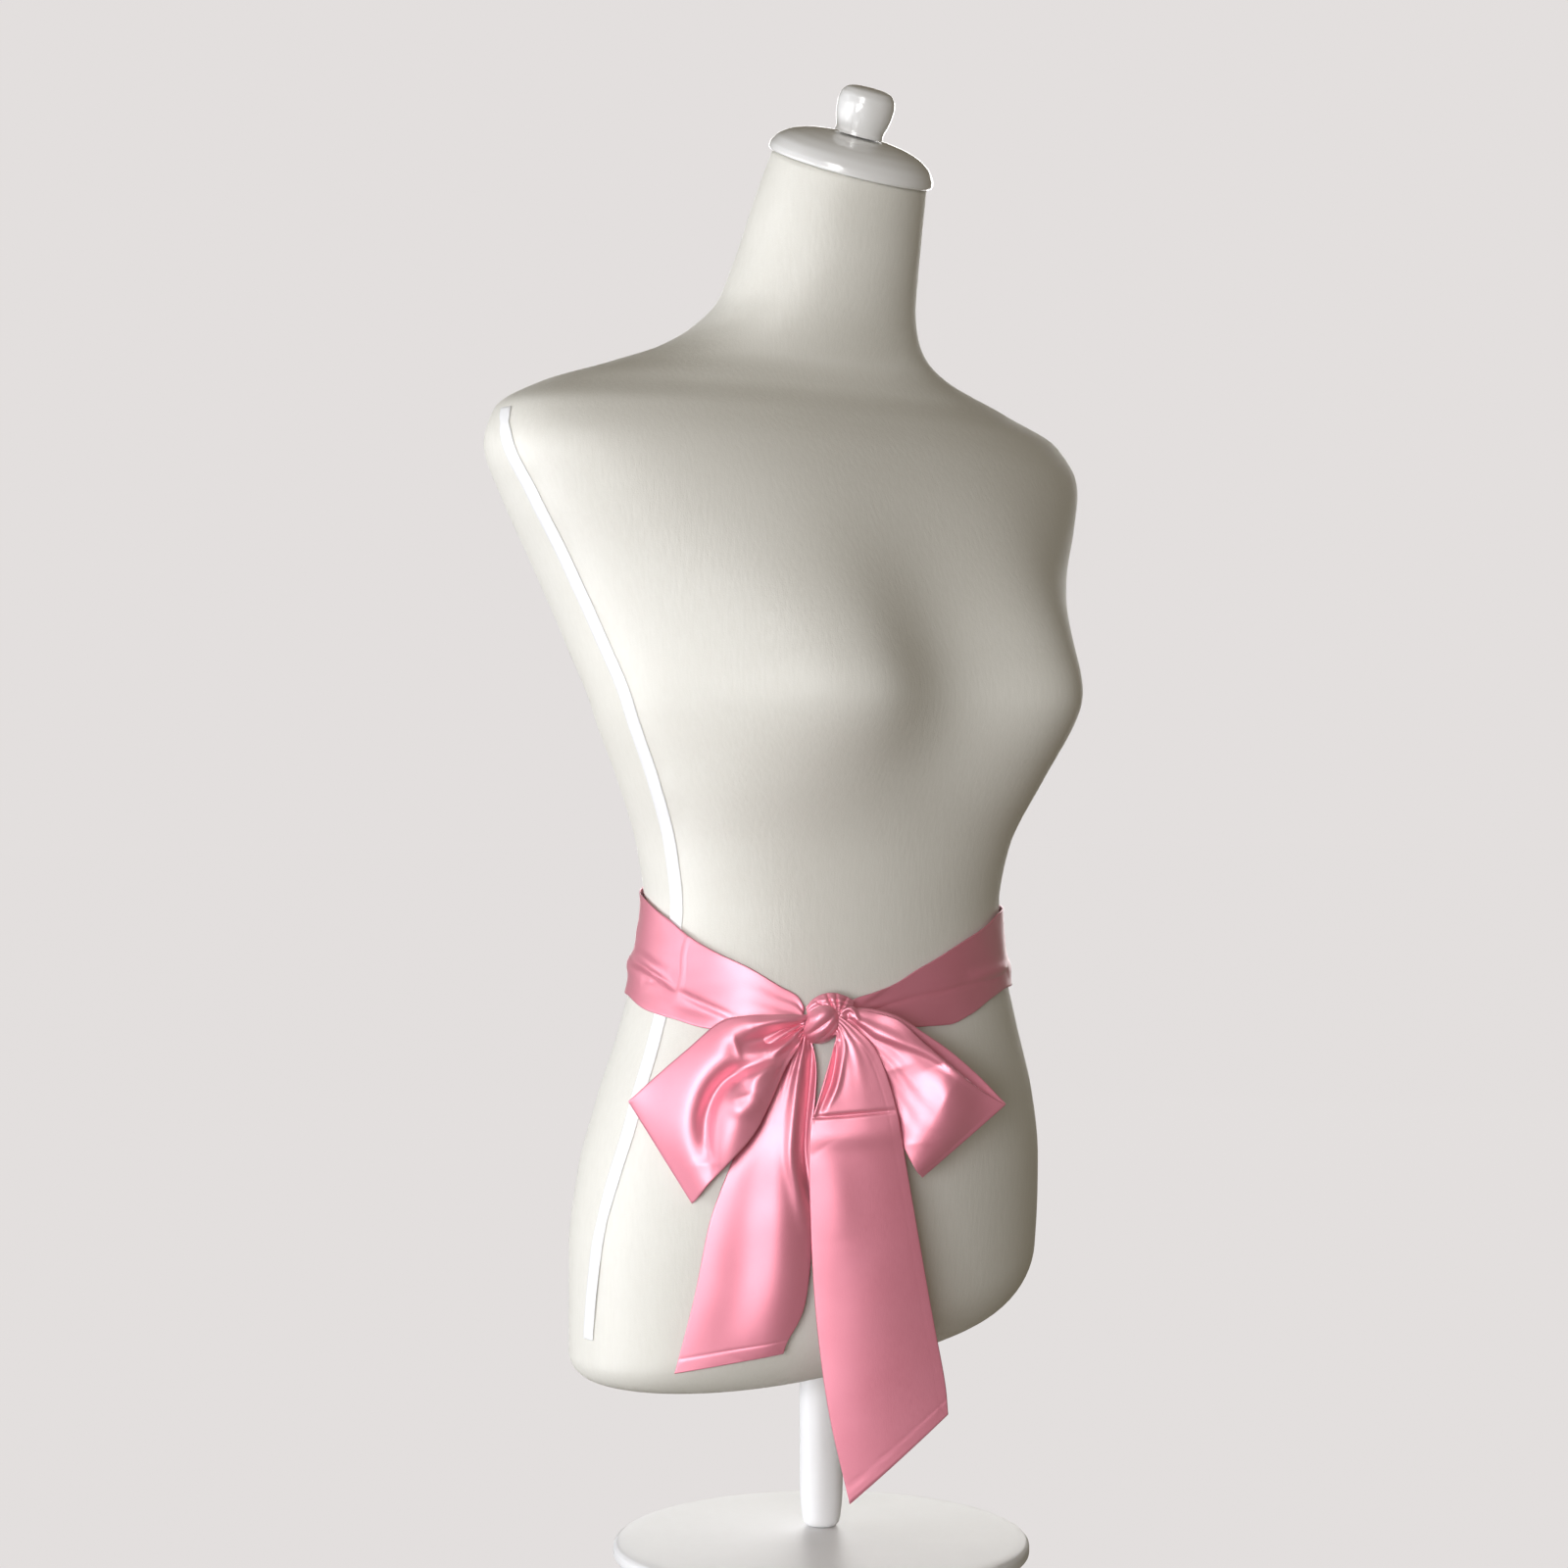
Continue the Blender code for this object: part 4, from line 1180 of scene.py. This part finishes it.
LOOP_RIGHT_FOLDS = (
    Fold(((-56.5, -78.0), (-58.6, -62.0), (-56.5, -47.0), (-51.5, -37.0), (-43.0, -29.5),
          (-33.0, -25.5), (-19.0, -19.5), (-10.0, -13.0)), 9.5, -8.0, FoldShape.LAP),
    Fold(((-61.0, -70.0), (-62.6, -54.0), (-58.5, -42.0), (-51.0, -33.0), (-40.0, -27.0)), 5.0, -2.6),
    Fold(((-20.0, -26.0), (-34.0, -38.0), (-44.0, -52.0), (-49.0, -66.0), (-55.0, -80.0)), 9.0, 2.0),
    Fold(((-7.0, 0.6), (-14.0, 0.2), (-24.0, -0.6), (-36.0, -2.6)), 2.4, 2.4),
    Fold(((-8.5, -4.8), (-18.0, -7.0), (-28.0, -9.6), (-38.0, -12.0), (-46.0, -14.5)), 5.6, -7.6),
    Fold(((-9.5, -9.2), (-18.0, -13.0), (-28.0, -17.0)), 2.6, 1.8),
    Fold(((-45.5, -28.0), (-43.0, -33.5), (-41.0, -40.0)), 4.8, -2.6),
    Fold(((-50.0, -42.0), (-42.0, -47.0), (-32.0, -41.0)), 4.4, 1.3),
)

LOOP_LEFT_SECTIONS = tuple(Section(*row) for row in (
    (2.5, 3.2, 2.5, -9.4, 10.8, 11.0, 10.8, 0.2, 2),
    (9.0, 3.6, 9.6, -8.6, 11.4, 12.2, 10.4, 0.4, 2),
    (16.0, 6.4, 15.4, -15.0, 11.0, 12.2, 9.8, 0.6, 2),
    (21.0, 4.6, 19.0, -21.0, 10.2, 11.8, 9.6, 0.5, 1),
    (28.0, 3.2, 24.0, -30.0, 10.4, 12.0, 9.4, 0.4, 3),
    (42.0, -1.0, 33.0, -46.0, 12.2, 13.6, 10.6, 0.2, 3),
    (55.0, -12.5, 40.0, -60.0, 12.4, 15.6, 11.8, 0.0, 3),
    (69.5, -25.0, 46.0, -72.0, 10.0, 16.4, 14.2, 0.0, 3),
    (85.5, -38.5, 51.0, -81.0, 5.6, 12.6, 13.6, 0.0, 3),
    (97.5, -46.0, 53.8, -84.8, 2.2, 7.4, 10.4, 0.0, 2),
    (100.3, -47.4, 54.8, -86.2, 0.2, 4.8, 7.6, 0.0, 2),
    (97.5, -44.4, 53.6, -84.4, -1.8, 2.2, 4.8, 0.0, 2),
    (86.0, -32.5, 51.0, -80.5, -1.2, 2.0, 3.4, 0.0, 3),
    (70.0, -18.5, 46.0, -71.5, 0.8, 2.6, 1.8, 0.0, 3),
    (55.0, -8.0, 40.0, -59.5, 3.0, 3.8, 2.6, 0.0, 3),
    (42.0, 0.5, 33.0, -45.5, 4.4, 4.4, 3.2, 0.3, 3),
    (28.0, 4.6, 24.0, -29.5, 5.0, 4.8, 4.2, 0.5, 2),
    (18.0, 5.0, 17.0, -16.5, 6.0, 6.0, 6.0, 0.4, 2),
    (9.6, 2.6, 10.4, -8.4, 7.6, 7.8, 7.6, 0.2, 2),
    (2.5, 2.2, 2.5, -8.4, 7.9, 8.0, 7.9, 0.2, 0),
))
LOOP_LEFT_FOLDS = (
    Fold(((17.0, -0.5), (21.0, -3.5), (27.8, -8.7), (34.0, -11.2), (46.4, -15.4), (60.4, -21.6),
          (75.9, -32.8), (92.0, -44.0)), 7.0, 3.4, FoldShape.LAP),
    Fold(((10.4, 1.0), (12.0, 4.6), (15.6, 5.6), (18.6, 2.6), (20.0, -1.5)), 1.1, 1.5),
    Fold(((13.2, 1.0), (15.6, 2.8)), 1.6, -1.4),
    Fold(((68.0, -22.0), (74.0, -38.0), (75.0, -54.0), (68.0, -74.0)), 12.5, 7.2),
    Fold(((63.0, -27.0), (67.0, -44.0), (65.0, -62.0)), 7.0, 1.5),
    Fold(((40.0, -26.0), (46.0, -46.0), (47.0, -68.0)), 9.0, -2.2),
)

TAIL_SHORT_SECTIONS = tuple(Section(*row) for row in (
    (-3.0, 2.4, -3.0, -8.8, 8.0, 8.1, 8.0, 0.1, 2),
    (-11.0, -0.5, -6.0, -9.6, 9.4, 9.9, 9.4, 0.3, 2),
    (-20.0, -12.0, -3.6, -19.0, 12.4, 12.6, 10.4, 0.5, 2),
    (-30.0, -32.0, -2.6, -31.0, 16.0, 16.6, 12.0, 0.5, 2),
    (-37.0, -52.0, -3.6, -50.0, 18.4, 18.8, 14.2, 0.4, 2),
    (-46.0, -72.0, -3.4, -70.0, 20.0, 20.0, 13.4, 0.3, 3),
    (-54.0, -92.0, -3.6, -90.0, 20.2, 20.2, 13.4, 0.2, 3),
    (-60.5, -112.0, -4.6, -116.0, 19.6, 20.2, 13.2, 0.2, 4),
    (-68.0, -149.0, -9.0, -154.0, 18.2, 19.4, 13.4, 0.2, 4),
    (-77.0, -184.0, -18.5, -174.0, 16.4, 18.0, 14.4, 0.0, 2),
    (-79.0, -191.0, -20.5, -180.0, 16.0, 17.6, 14.2, 0.0, 0),
))
TAIL_SHORT_FOLDS = (
    Fold(((-8.0, -10.0), (-11.8, -32.0), (-14.8, -57.0), (-15.6, -74.0), (-12.8, -91.0), (-9.0, -112.0)),
         3.4, 3.2),
    Fold(((-15.0, -24.0), (-18.0, -60.0), (-17.0, -100.0), (-20.0, -150.0), (-30.0, -190.0)), 16.0, 6.6),
    Fold(((-6.0, -14.0), (-6.4, -32.0), (-8.8, -57.0), (-9.2, -74.0), (-6.5, -96.0)), 2.6, -5.0),
    Fold(((-4.4, -9.0), (-2.8, -22.0), (-2.8, -34.0), (-4.6, -52.0)), 0.9, 1.2),
)

TAIL_LONG_SECTIONS = tuple(Section(*row) for row in (
    (3.0, -9.8, 3.0, 3.4, 14.2, 14.4, 14.2, 0.2, 2),
    (8.2, -8.8, 10.5, 1.0, 14.0, 14.8, 14.0, 0.2, 2),
    (6.4, -16.5, 20.0, -6.5, 15.2, 15.8, 14.2, 0.2, 2),
    (4.0, -25.0, 27.0, -13.5, 16.6, 17.4, 14.8, 0.2, 2),
    (1.8, -32.0, 32.0, -22.0, 17.6, 18.2, 15.4, 0.2, 2),
    (-1.4, -43.0, 37.0, -36.0, 18.8, 19.2, 16.2, 0.1, 2),
    (-4.4, -53.0, 41.0, -51.0, 19.4, 19.6, 16.4, 0.1, 3),
    (-6.0, -64.0, 43.0, -63.0, 19.6, 19.8, 15.8, 0.0, 3),
    (-6.0, -95.0, 48.0, -92.0, 19.4, 19.4, 12.6, 0.0, 5),
    (-3.0, -155.0, 59.0, -155.0, 18.4, 18.6, 10.4, 0.0, 4),
    (4.0, -210.0, 66.5, -195.0, 17.8, 17.8, 10.4, 0.0, 3),
    (15.5, -261.0, 68.5, -214.0, 17.2, 17.0, 11.2, 0.0, 0),
))
TAIL_LONG_FOLDS = (
    Fold(((-10.0, -53.2), (18.0, -51.0), (44.0, -48.8)), 1.2, -1.7),
    Fold(((-12.0, -64.0), (18.0, -62.4), (46.0, -60.8)), 6.4, 1.3),
    Fold(((-2.0, -70.0), (8.0, -86.0), (12.0, -120.0)), 9.0, 0.9),
    Fold(((8.8, -11.0), (8.0, -22.0), (4.8, -36.0), (-1.0, -50.0)), 2.4, -3.8),
    Fold(((6.9, -11.0), (4.4, -24.0), (0.4, -39.0), (-5.0, -55.0)), 0.9, 1.0),
    Fold(((12.0, -10.0), (11.4, -20.0), (8.6, -35.0), (2.4, -48.0)), 1.8, 1.5),
)

KNOT_UPPER_SECTIONS = tuple(Section(*row) for row in (
    (-8.0, 6.0, -7.0, -1.0, 8.4, 9.6, 9.6, 0.0, 2),
    (-4.4, 10.2, -4.0, 0.0, 8.6, 11.6, 12.0, 0.1, 2),
    (1.0, 13.0, 2.0, 1.0, 8.4, 13.2, 14.0, 0.1, 2),
    (7.0, 13.6, 8.0, 1.0, 8.0, 13.0, 14.0, 0.1, 2),
    (12.5, 12.0, 12.5, 0.0, 6.8, 11.2, 12.6, 0.1, 2),
    (17.5, 9.4, 16.0, -1.0, 5.0, 8.0, 9.4, 0.0, 0),
))
KNOT_UPPER_FOLDS = (
    Fold(((8.0, 2.0), (3.5, 6.0), (-3.0, 9.5)), 0.9, -1.5),
    Fold(((8.2, 3.0), (5.4, 8.0), (2.6, 14.0)), 0.9, -1.7),
    Fold(((9.0, 3.0), (8.6, 8.0), (8.0, 14.5)), 0.8, -1.6),
    Fold(((9.6, 3.0), (12.0, 7.5), (14.2, 11.5)), 0.9, -1.6),
    Fold(((9.0, 1.0), (13.0, 3.6), (17.0, 6.0)), 0.8, -1.2),
)


@dataclass(frozen=True)
class BowFrame:
    """Turns the bow's own sizes into the form's space."""

    azimuth: float = 40.0
    radius: float = 101.2
    height: float = 316.0

    def point(self, across: Grid, up: Grid, out: Grid) -> Grid:
        """Turn the bow's sizes into points.

        Args:
            across: millimetres to the viewer's right of the knot.
            up: millimetres above it.
            out: millimetres out of the waist.

        Returns:
            The points in millimetres.
        """
        turn = math.radians(self.azimuth)
        reach = self.radius + out
        x = across * math.cos(turn) - reach * math.sin(turn)
        y = -across * math.sin(turn) - reach * math.cos(turn)
        return np.stack(np.broadcast_arrays(x, y, self.height + up), axis=-1)


@dataclass(frozen=True)
class Ribbon:
    """A loop, tail or fold of the bow, carried from section to section."""

    name: str
    node: str
    sections: tuple[Section, ...]
    folds: tuple[Fold, ...]
    flat: tuple[float, float]
    held: str
    rests_on: tuple[str, ...]
    area: float | None = None
    front_rows: int | None = None
    columns: int = 64
    fineness: int = 5
    wall: float = 0.6
    waves: float = 2.0
    fine_waves: float = 5.0
    fine_pleat: float = 0.5
    back_pleat: float = 1.6
    fine_start: float = 12.0
    fine_reach: float = 34.0
    calm: float = 0.0
    ripple: float = 0.25
    ripple_length: float = 74.0
    turn_fade: float = 5.0
    hem: float = 0.0
    hem_raise: float = 0.08
    hem_step: float = 1.2
    side_seam: float = 0.0
    seam_depth: float = 0.13
    seam_line: float = 0.7
    mitre_line: float = 0.16

    def rows(self) -> Grid:
        """Run a smooth curve through the sections.

        Returns:
            The sections' columns, with more rows than the solid has.
        """
        table = np.asarray(self.sections, float)
        padded = np.vstack([2 * table[0] - table[1], table, 2 * table[-1] - table[-2]])
        counts = [section.steps * self.fineness for section in self.sections[:-1]]
        index = np.repeat(np.arange(len(counts)), counts)
        t = np.concatenate([np.arange(count) / count for count in counts])[:, None]
        return np.vstack([spline(padded, index, t), table[-1]])

    def middle(self, bow: BowFrame) -> Grid:
        """Return the ribbon's middle surface.

        Formula: straight lines across between each section's ends, arched by its middle
        distance, waved by its gathers, raised by the folds on the front part, and with
        shallow lines where the hem and the side seam are sewn.

        Args:
            bow: the bow's place on the form.

        Returns:
            The surface's points, rows along the ribbon and columns across.
        """
        table = self.rows()
        t = np.linspace(0.0, 1.0, self.columns)[None, :]
        value = {name: table[:, i][:, None] for i, name in enumerate(Section._fields)}
        across = value["a_across"] * (1 - t) + value["b_across"] * t
        up = value["a_up"] * (1 - t) + value["b_up"] * t
        edge = value["out_a"] * (1 - t) + value["out_b"] * t
        arch = value["out_mid"] - (value["out_a"] + value["out_b"]) / 2
        out = edge + arch * 4 * t * (1 - t)
        soft_ends = np.sin(np.pi * t) ** 0.5
        away = np.hypot((value["a_across"] + value["b_across"]) / 2, (value["a_up"] + value["b_up"]) / 2)
        place_in = np.arange(len(table))[:, None]
        front = np.ones_like(away)
        if self.front_rows is not None:
            turn_row = sum(row.steps for row in self.sections[:self.front_rows]) * self.fineness
            front = np.clip((turn_row - place_in) / (self.turn_fade * self.fineness), 0.0, 1.0)
        fine = self.fine_pleat * front + self.back_pleat * (1.0 - front)
        fine = fine * (0.45 + 0.55 * np.tanh((away / self.fine_start) ** 2)) * np.exp(-(away / self.fine_reach) ** 2)
        gather = value["pleat"] * np.sin(2 * np.pi * self.waves * t)
        gather = gather + fine * (1.0 - self.calm * t) * np.sin(2 * np.pi * self.fine_waves * t + 0.8)
        out = out + gather * soft_ends
        raised = fold_height(self.folds, across, up)
        raised = raised + self.ripple * wander(across, up, self.ripple_length)
        raised = raised * front
        if self.hem:
            raised = raised + self.seam_relief(bow.point(across, up, out + raised))
        return bow.point(across, up, out + raised)

    def seam_relief(self, middle: Grid) -> Grid:
        """Return the shallow lines of the hem, the side seam and the mitre at their corner.

        Formula: a narrow bell of the distance to each line, and a small step up over the hem.

        Args:
            middle: the middle surface without them.

        Returns:
            The height at each point, below 0 in a line.
        """
        across, along = cloth_lengths(middle)
        from_end = along[-1:] - along
        from_side = across[:, -1:] - across
        hem_line = np.exp(-((from_end - self.hem) / self.seam_line) ** 2)
        side_line = np.exp(-((from_side - self.side_seam) / self.seam_line) ** 2)
        side_line = side_line * np.clip(1.5 - across[:, -1:] / 70.0, 0.0, 1.0)
        mitre = np.exp(-((from_end / self.hem - from_side / self.side_seam) / self.mitre_line) ** 2)
        mitre = mitre * (from_end < self.hem) * (from_side < self.side_seam)
        raised_hem = self.hem_raise * np.clip((self.hem - from_end) / self.hem_step, 0.0, 1.0)
        return raised_hem - self.seam_depth * np.maximum(np.maximum(hem_line, 0.5 * side_line), mitre)

    def build(self, bow: BowFrame, satin: bpy.types.Material) -> None:
        """Build the ribbon, log its length along the middle and put it in place of its solid.

        Args:
            bow: the bow's place on the form.
            satin: its finish.
        """
        middle = self.middle(bow)
        piece = closed_cloth(self.name, middle, self.wall, satin)
        LOG.info("%s: %.0f mm along its middle", self.name, cloth_lengths(middle)[1][-1, self.columns // 2])
        place(piece, "satin", self.node)


KNOT_FOLDS = (
    Fold(((-8.0, -9.0), (-2.0, -5.0), (4.0, 0.0), (9.5, 6.0)), 1.5, -1.5),
    Fold(((-3.0, -12.5), (3.5, -7.5), (9.0, 0.5)), 1.3, -1.2),
    Fold(((-7.0, -1.0), (-1.0, 1.5), (5.0, 5.0)), 3.2, 0.8),
    Fold(((5.0, 9.0), (8.0, 4.0), (9.5, -1.0)), 0.9, -1.1),
    Fold(((2.0, -13.0), (6.0, -9.0), (9.5, -5.0)), 1.2, -0.8),
)


@dataclass(frozen=True)
class Knot:
    """The wrap that holds the bow: a short rounded lobe of cloth, drawn up towards one side."""

    up: float = -3.2
    out: float = 11.5
    half_height: float = 10.4
    half_depth: float = 9.4
    half_width: float = 8.6
    taper: float = 0.46
    taper_power: float = 2.3
    lean: float = 0.18
    nod: float = 0.34
    pinch: float = 0.08
    front_reach: float = 0.25
    round: int = 240
    across: int = 72
    wall: float = 0.7
    flat: tuple[float, float] = (0.018, 0.058)

    def middle(self, bow: BowFrame) -> Grid:
        """Return the wrap's middle surface.

        Formula: an oval ring for each place across, smaller towards both sides, that leans
        with its height, with the folds of its own table pressed into its front half.

        Args:
            bow: the bow's place on the form.

        Returns:
            The surface's points, rows round the wrap and columns across.
        """
        turn = np.linspace(0.0, 2 * np.pi, self.round, endpoint=False)[:, None]
        side = np.linspace(-1.0, 1.0, self.across)[None, :]
        scale = 1.0 - self.taper * np.abs(side) ** self.taper_power
        up = self.half_height * scale * np.sin(turn)
        across = self.half_width * side * (1.0 - self.pinch * np.sin(turn)) + self.lean * up
        front = np.clip(self.front_reach + np.cos(turn), 0.0, 1.0)
        raised = front * fold_height(KNOT_FOLDS, across, self.up + up)
        out = self.out + self.half_depth * scale * np.cos(turn - self.nod) + raised * np.cos(turn)
        return bow.point(across, self.up + up + 0.6 * raised * np.sin(turn), out)

    def build(self, bow: BowFrame, satin: bpy.types.Material) -> None:
        """Build the wrap and put it in place of its solid.

        Args:
            bow: the bow's place on the form.
            satin: its finish.
        """
        piece = closed_cloth("satin_knot", self.middle(bow), self.wall, satin, around=True)
        place(piece, "satin", "sash_knot")


@dataclass(frozen=True)
class Sash:
    """The whole sash: the band, the knot and its upper fold, both loops and both tails."""

    shape: FormShape
    satin: bpy.types.Material
    bow: BowFrame = field(default_factory=BowFrame)

    def ribbons(self) -> tuple[Ribbon, ...]:
        """List the bow's stretches of cloth.

        Returns:
            The knot's upper fold, both loops and both tails.
        """
        return (
            Ribbon("satin_knot_upper", "sash_knot_upper", KNOT_UPPER_SECTIONS, KNOT_UPPER_FOLDS, (0.016, 0.028),
                   "gathered", ("satin_knot",), columns=40, fineness=10, fine_pleat=0.3, ripple=0.1),
            Ribbon("satin_loop_right", "sash_loop_right", LOOP_RIGHT_SECTIONS, LOOP_RIGHT_FOLDS, (0.060, 0.236),
                   "folded", ("satin_knot",), front_rows=9),
            Ribbon("satin_loop_left", "sash_loop_left", LOOP_LEFT_SECTIONS, LOOP_LEFT_FOLDS, (0.060, 0.212),
                   "folded", ("satin_knot",), front_rows=9, fine_pleat=0.5, back_pleat=3.8, fine_reach=50.0),
            Ribbon("satin_tail_short", "sash_tail_short", TAIL_SHORT_SECTIONS, TAIL_SHORT_FOLDS, (0.060, 0.214),
                   "hung", ("satin_knot",), area=0.0118, columns=84, fineness=8, hem=8.0, side_seam=5.0,
                   ripple=0.18, fine_pleat=1.9, fine_reach=32.0, calm=0.9),
            Ribbon("satin_tail_long", "sash_tail_long", TAIL_LONG_SECTIONS, TAIL_LONG_FOLDS, (0.060, 0.266),
                   "hung", ("satin_knot",), area=0.0149, columns=84, fineness=8, hem=8.0, side_seam=5.0,
                   ripple=0.15, fine_pleat=0.3, fine_reach=26.0),
        )

    def build(self) -> None:
        """Build every stretch of the sash."""
        WaistBand(self.shape, self.satin).build()
        Knot().build(self.bow, self.satin)
        for ribbon in self.ribbons():
            ribbon.build(self.bow, self.satin)


# --- The studio -----------------------------------------------------------------------------


@dataclass(frozen=True)
class SoftLight:
    """A large soft light aimed at the sash.

    Sizes are metres, power is watts and turn is degrees to the viewer's left of the camera.
    """

    name: str
    turn: float
    height: float
    distance: float
    width: float
    tall: float
    power: float
    colour: Colour = (1.0, 1.0, 1.0)
    gloss: bool = True
    shade: bool = True

    def build(self, view_azimuth: float, aim: Vector) -> None:
        """Place the light.

        Formula: it stands on a circle round the form, turned from the camera to the viewer's
        left by its own angle.

        Args:
            view_azimuth: the camera's angle round the form, in degrees.
            aim: the point that the light faces.
        """
        angle = math.radians(view_azimuth - 90.0 - self.turn)
        data = bpy.data.lights.new(self.name, "AREA")
        data.shape = "RECTANGLE"
        data.size, data.size_y = self.width, self.tall
        data.energy = self.power
        data.color = self.colour
        light = bpy.data.objects.new(self.name, data)
        light.location = (self.distance * math.cos(angle), self.distance * math.sin(angle), self.height)
        light.rotation_euler = (aim - light.location).to_track_quat("-Z", "Y").to_euler()
        light.visible_glossy = self.gloss
        light.visible_diffuse = self.shade
        bpy.context.scene.collection.objects.link(light)


@dataclass(frozen=True)
class Studio:
    """The camera at the photograph's place, the soft lights, the floor and the background."""

    azimuth: float = 40.0
    distance: float = 1.75
    height: float = 0.435
    lens: float = 69.5
    sensor: float = 36.0
    frame_size: int = 1600
    axis_x: float = 838.0
    horizon_y: float = 815.0
    background: Colour = (0.768, 0.738, 0.730)
    ambient: Colour = (0.162, 0.140, 0.104)
    floor_size: float = 40.0
    floor_drop: float = 0.2
    aim_height: float = 0.42

    def build_camera(self) -> None:
        """Place the camera level, with the shift that puts its axis where the photograph's is."""
        turn = math.radians(self.azimuth)
        away = Vector((-math.sin(turn), -math.cos(turn), 0.0))
        data = bpy.data.cameras.new("camera")
        data.lens = self.lens
        data.sensor_width = self.sensor
        data.shift_x = (self.frame_size / 2 - self.axis_x) / self.frame_size
        data.shift_y = (self.horizon_y - self.frame_size / 2) / self.frame_size
        camera = bpy.data.objects.new("camera", data)
        camera.location = away * self.distance + Vector((0.0, 0.0, self.height))
        camera.rotation_euler = (-away).to_track_quat("-Z", "Y").to_euler()
        bpy.context.scene.collection.objects.link(camera)
        bpy.context.scene.camera = camera

    def build_floor(self) -> None:
        """Lay the floor as one wide pale sheet just under the stand."""
        half = self.floor_size / MM / 2
        corners = ((-half, -half), (half, -half), (half, half), (-half, half))
        points = np.array([(*corner, -self.floor_drop) for corner in corners])
        mesh = bpy.data.meshes.new("floor")
        mesh.from_pydata((points * MM).tolist(), [], [(0, 1, 2, 3)])
        mesh.materials.append(FloorFinish().material())
        floor = bpy.data.objects.new("floor", mesh)
        floor.visible_diffuse = False
        floor.visible_glossy = False
        bpy.context.scene.collection.objects.link(floor)

    def build_world(self) -> None:
        """Show the pale background and light the piece with a dimmer even glow."""
        world = bpy.data.worlds.new("studio")
        bpy.context.scene.world = world
        world.use_nodes = True
        tree = world.node_tree
        tree.nodes.clear()
        seen, glow = (tree.nodes.new("ShaderNodeBackground") for _ in range(2))
        seen.inputs["Color"].default_value = (*self.background, 1.0)
        glow.inputs["Color"].default_value = (*self.ambient, 1.0)
        path = tree.nodes.new("ShaderNodeLightPath")
        mix = tree.nodes.new("ShaderNodeMixShader")
        output = tree.nodes.new("ShaderNodeOutputWorld")
        tree.links.new(path.outputs["Is Camera Ray"], mix.inputs[0])
        tree.links.new(glow.outputs[0], mix.inputs[1])
        tree.links.new(seen.outputs[0], mix.inputs[2])
        tree.links.new(mix.outputs[0], output.inputs[0])

    def build(self) -> None:
        """Build the studio; each light gives its turn, height, distance, size and power."""
        aim = Vector((0.0, 0.0, self.aim_height))
        for light in (
            SoftLight("window", 90.0, 0.16, 2.4, 1.8, 0.9, 72.0, (0.96, 1.0, 1.09), gloss=False),
            SoftLight("front", 12.0, 0.30, 2.7, 1.2, 1.2, 58.0, (0.98, 1.0, 1.06), gloss=False),
            SoftLight("top", 30.0, 1.6, 2.2, 1.4, 1.0, 3.0, gloss=False),
            SoftLight("high_gleam", 15.0, 1.45, 2.5, 0.9, 1.5, 36.0, shade=False),
            SoftLight("low_gleam", 27.0, 0.30, 2.4, 1.0, 0.6, 28.0, shade=False),
            SoftLight("side_gleam", 65.0, 0.50, 2.5, 1.4, 1.2, 13.0, shade=False),
            SoftLight("far_gleam", 95.0, 0.50, 2.4, 1.8, 1.4, 10.0, shade=False),
            SoftLight("back", 185.0, 0.90, 2.6, 1.8, 1.4, 30.0),
            SoftLight("fill", 205.0, 0.70, 2.6, 1.8, 1.4, 12.0, gloss=False),
        ):
            light.build(-self.azimuth, aim)
        self.build_camera()
        self.build_floor()
        self.build_world()


# --- Putting it together --------------------------------------------------------------------


def place(piece: bpy.types.Object, slot: str, *nodes: str) -> None:
    """Fix a piece to the form and hide the solids that it stands for.

    Args:
        piece: the piece.
        slot: the finish's name; it is not used.
        nodes: the solids.
    """
    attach(piece, BODY)
    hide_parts(*nodes)
    LOG.info("%s: %d faces in place of %s", piece.name, len(piece.data.polygons), ", ".join(nodes))


def main() -> None:
    """Build the form, the sash and the studio."""
    logging.basicConfig(level=logging.INFO, format="%(name)s: %(message)s")
    bpy.context.scene.view_settings.view_transform = "Standard"
    shape = FormShape()
    gloss = GlossFinish("gloss white", (0.80, 0.79, 0.765), roughness=0.10, coat=0.5).material()
    tape = GlossFinish("tape white", (0.90, 0.895, 0.885), roughness=0.30, coat=0.2).material()
    paint = GlossFinish("stand paint", (0.80, 0.79, 0.78), roughness=0.42, coat=0.0).material()
    DressForm(shape, CoverFinish().material(), tape).build()
    for turned in (
        TurnedPiece("cap_dome", "neck_cap", "gloss", gloss, CAP_OUTLINE, CAP_FOOT, CAP_TILT),
        TurnedPiece("cap_knob", "cap_finial", "gloss", gloss, FINIAL_OUTLINE, CAP_FOOT, CAP_TILT),
        TurnedPiece("stand_stem", "stand_post", "stand", paint, POST_OUTLINE),
        TurnedPiece("stand_foot", "stand_base", "stand", paint, BASE_OUTLINE),
    ):
        turned.build()
    Sash(shape, SatinFinish().material()).build()
    Studio().build()


if __name__ == "__main__":
    main()
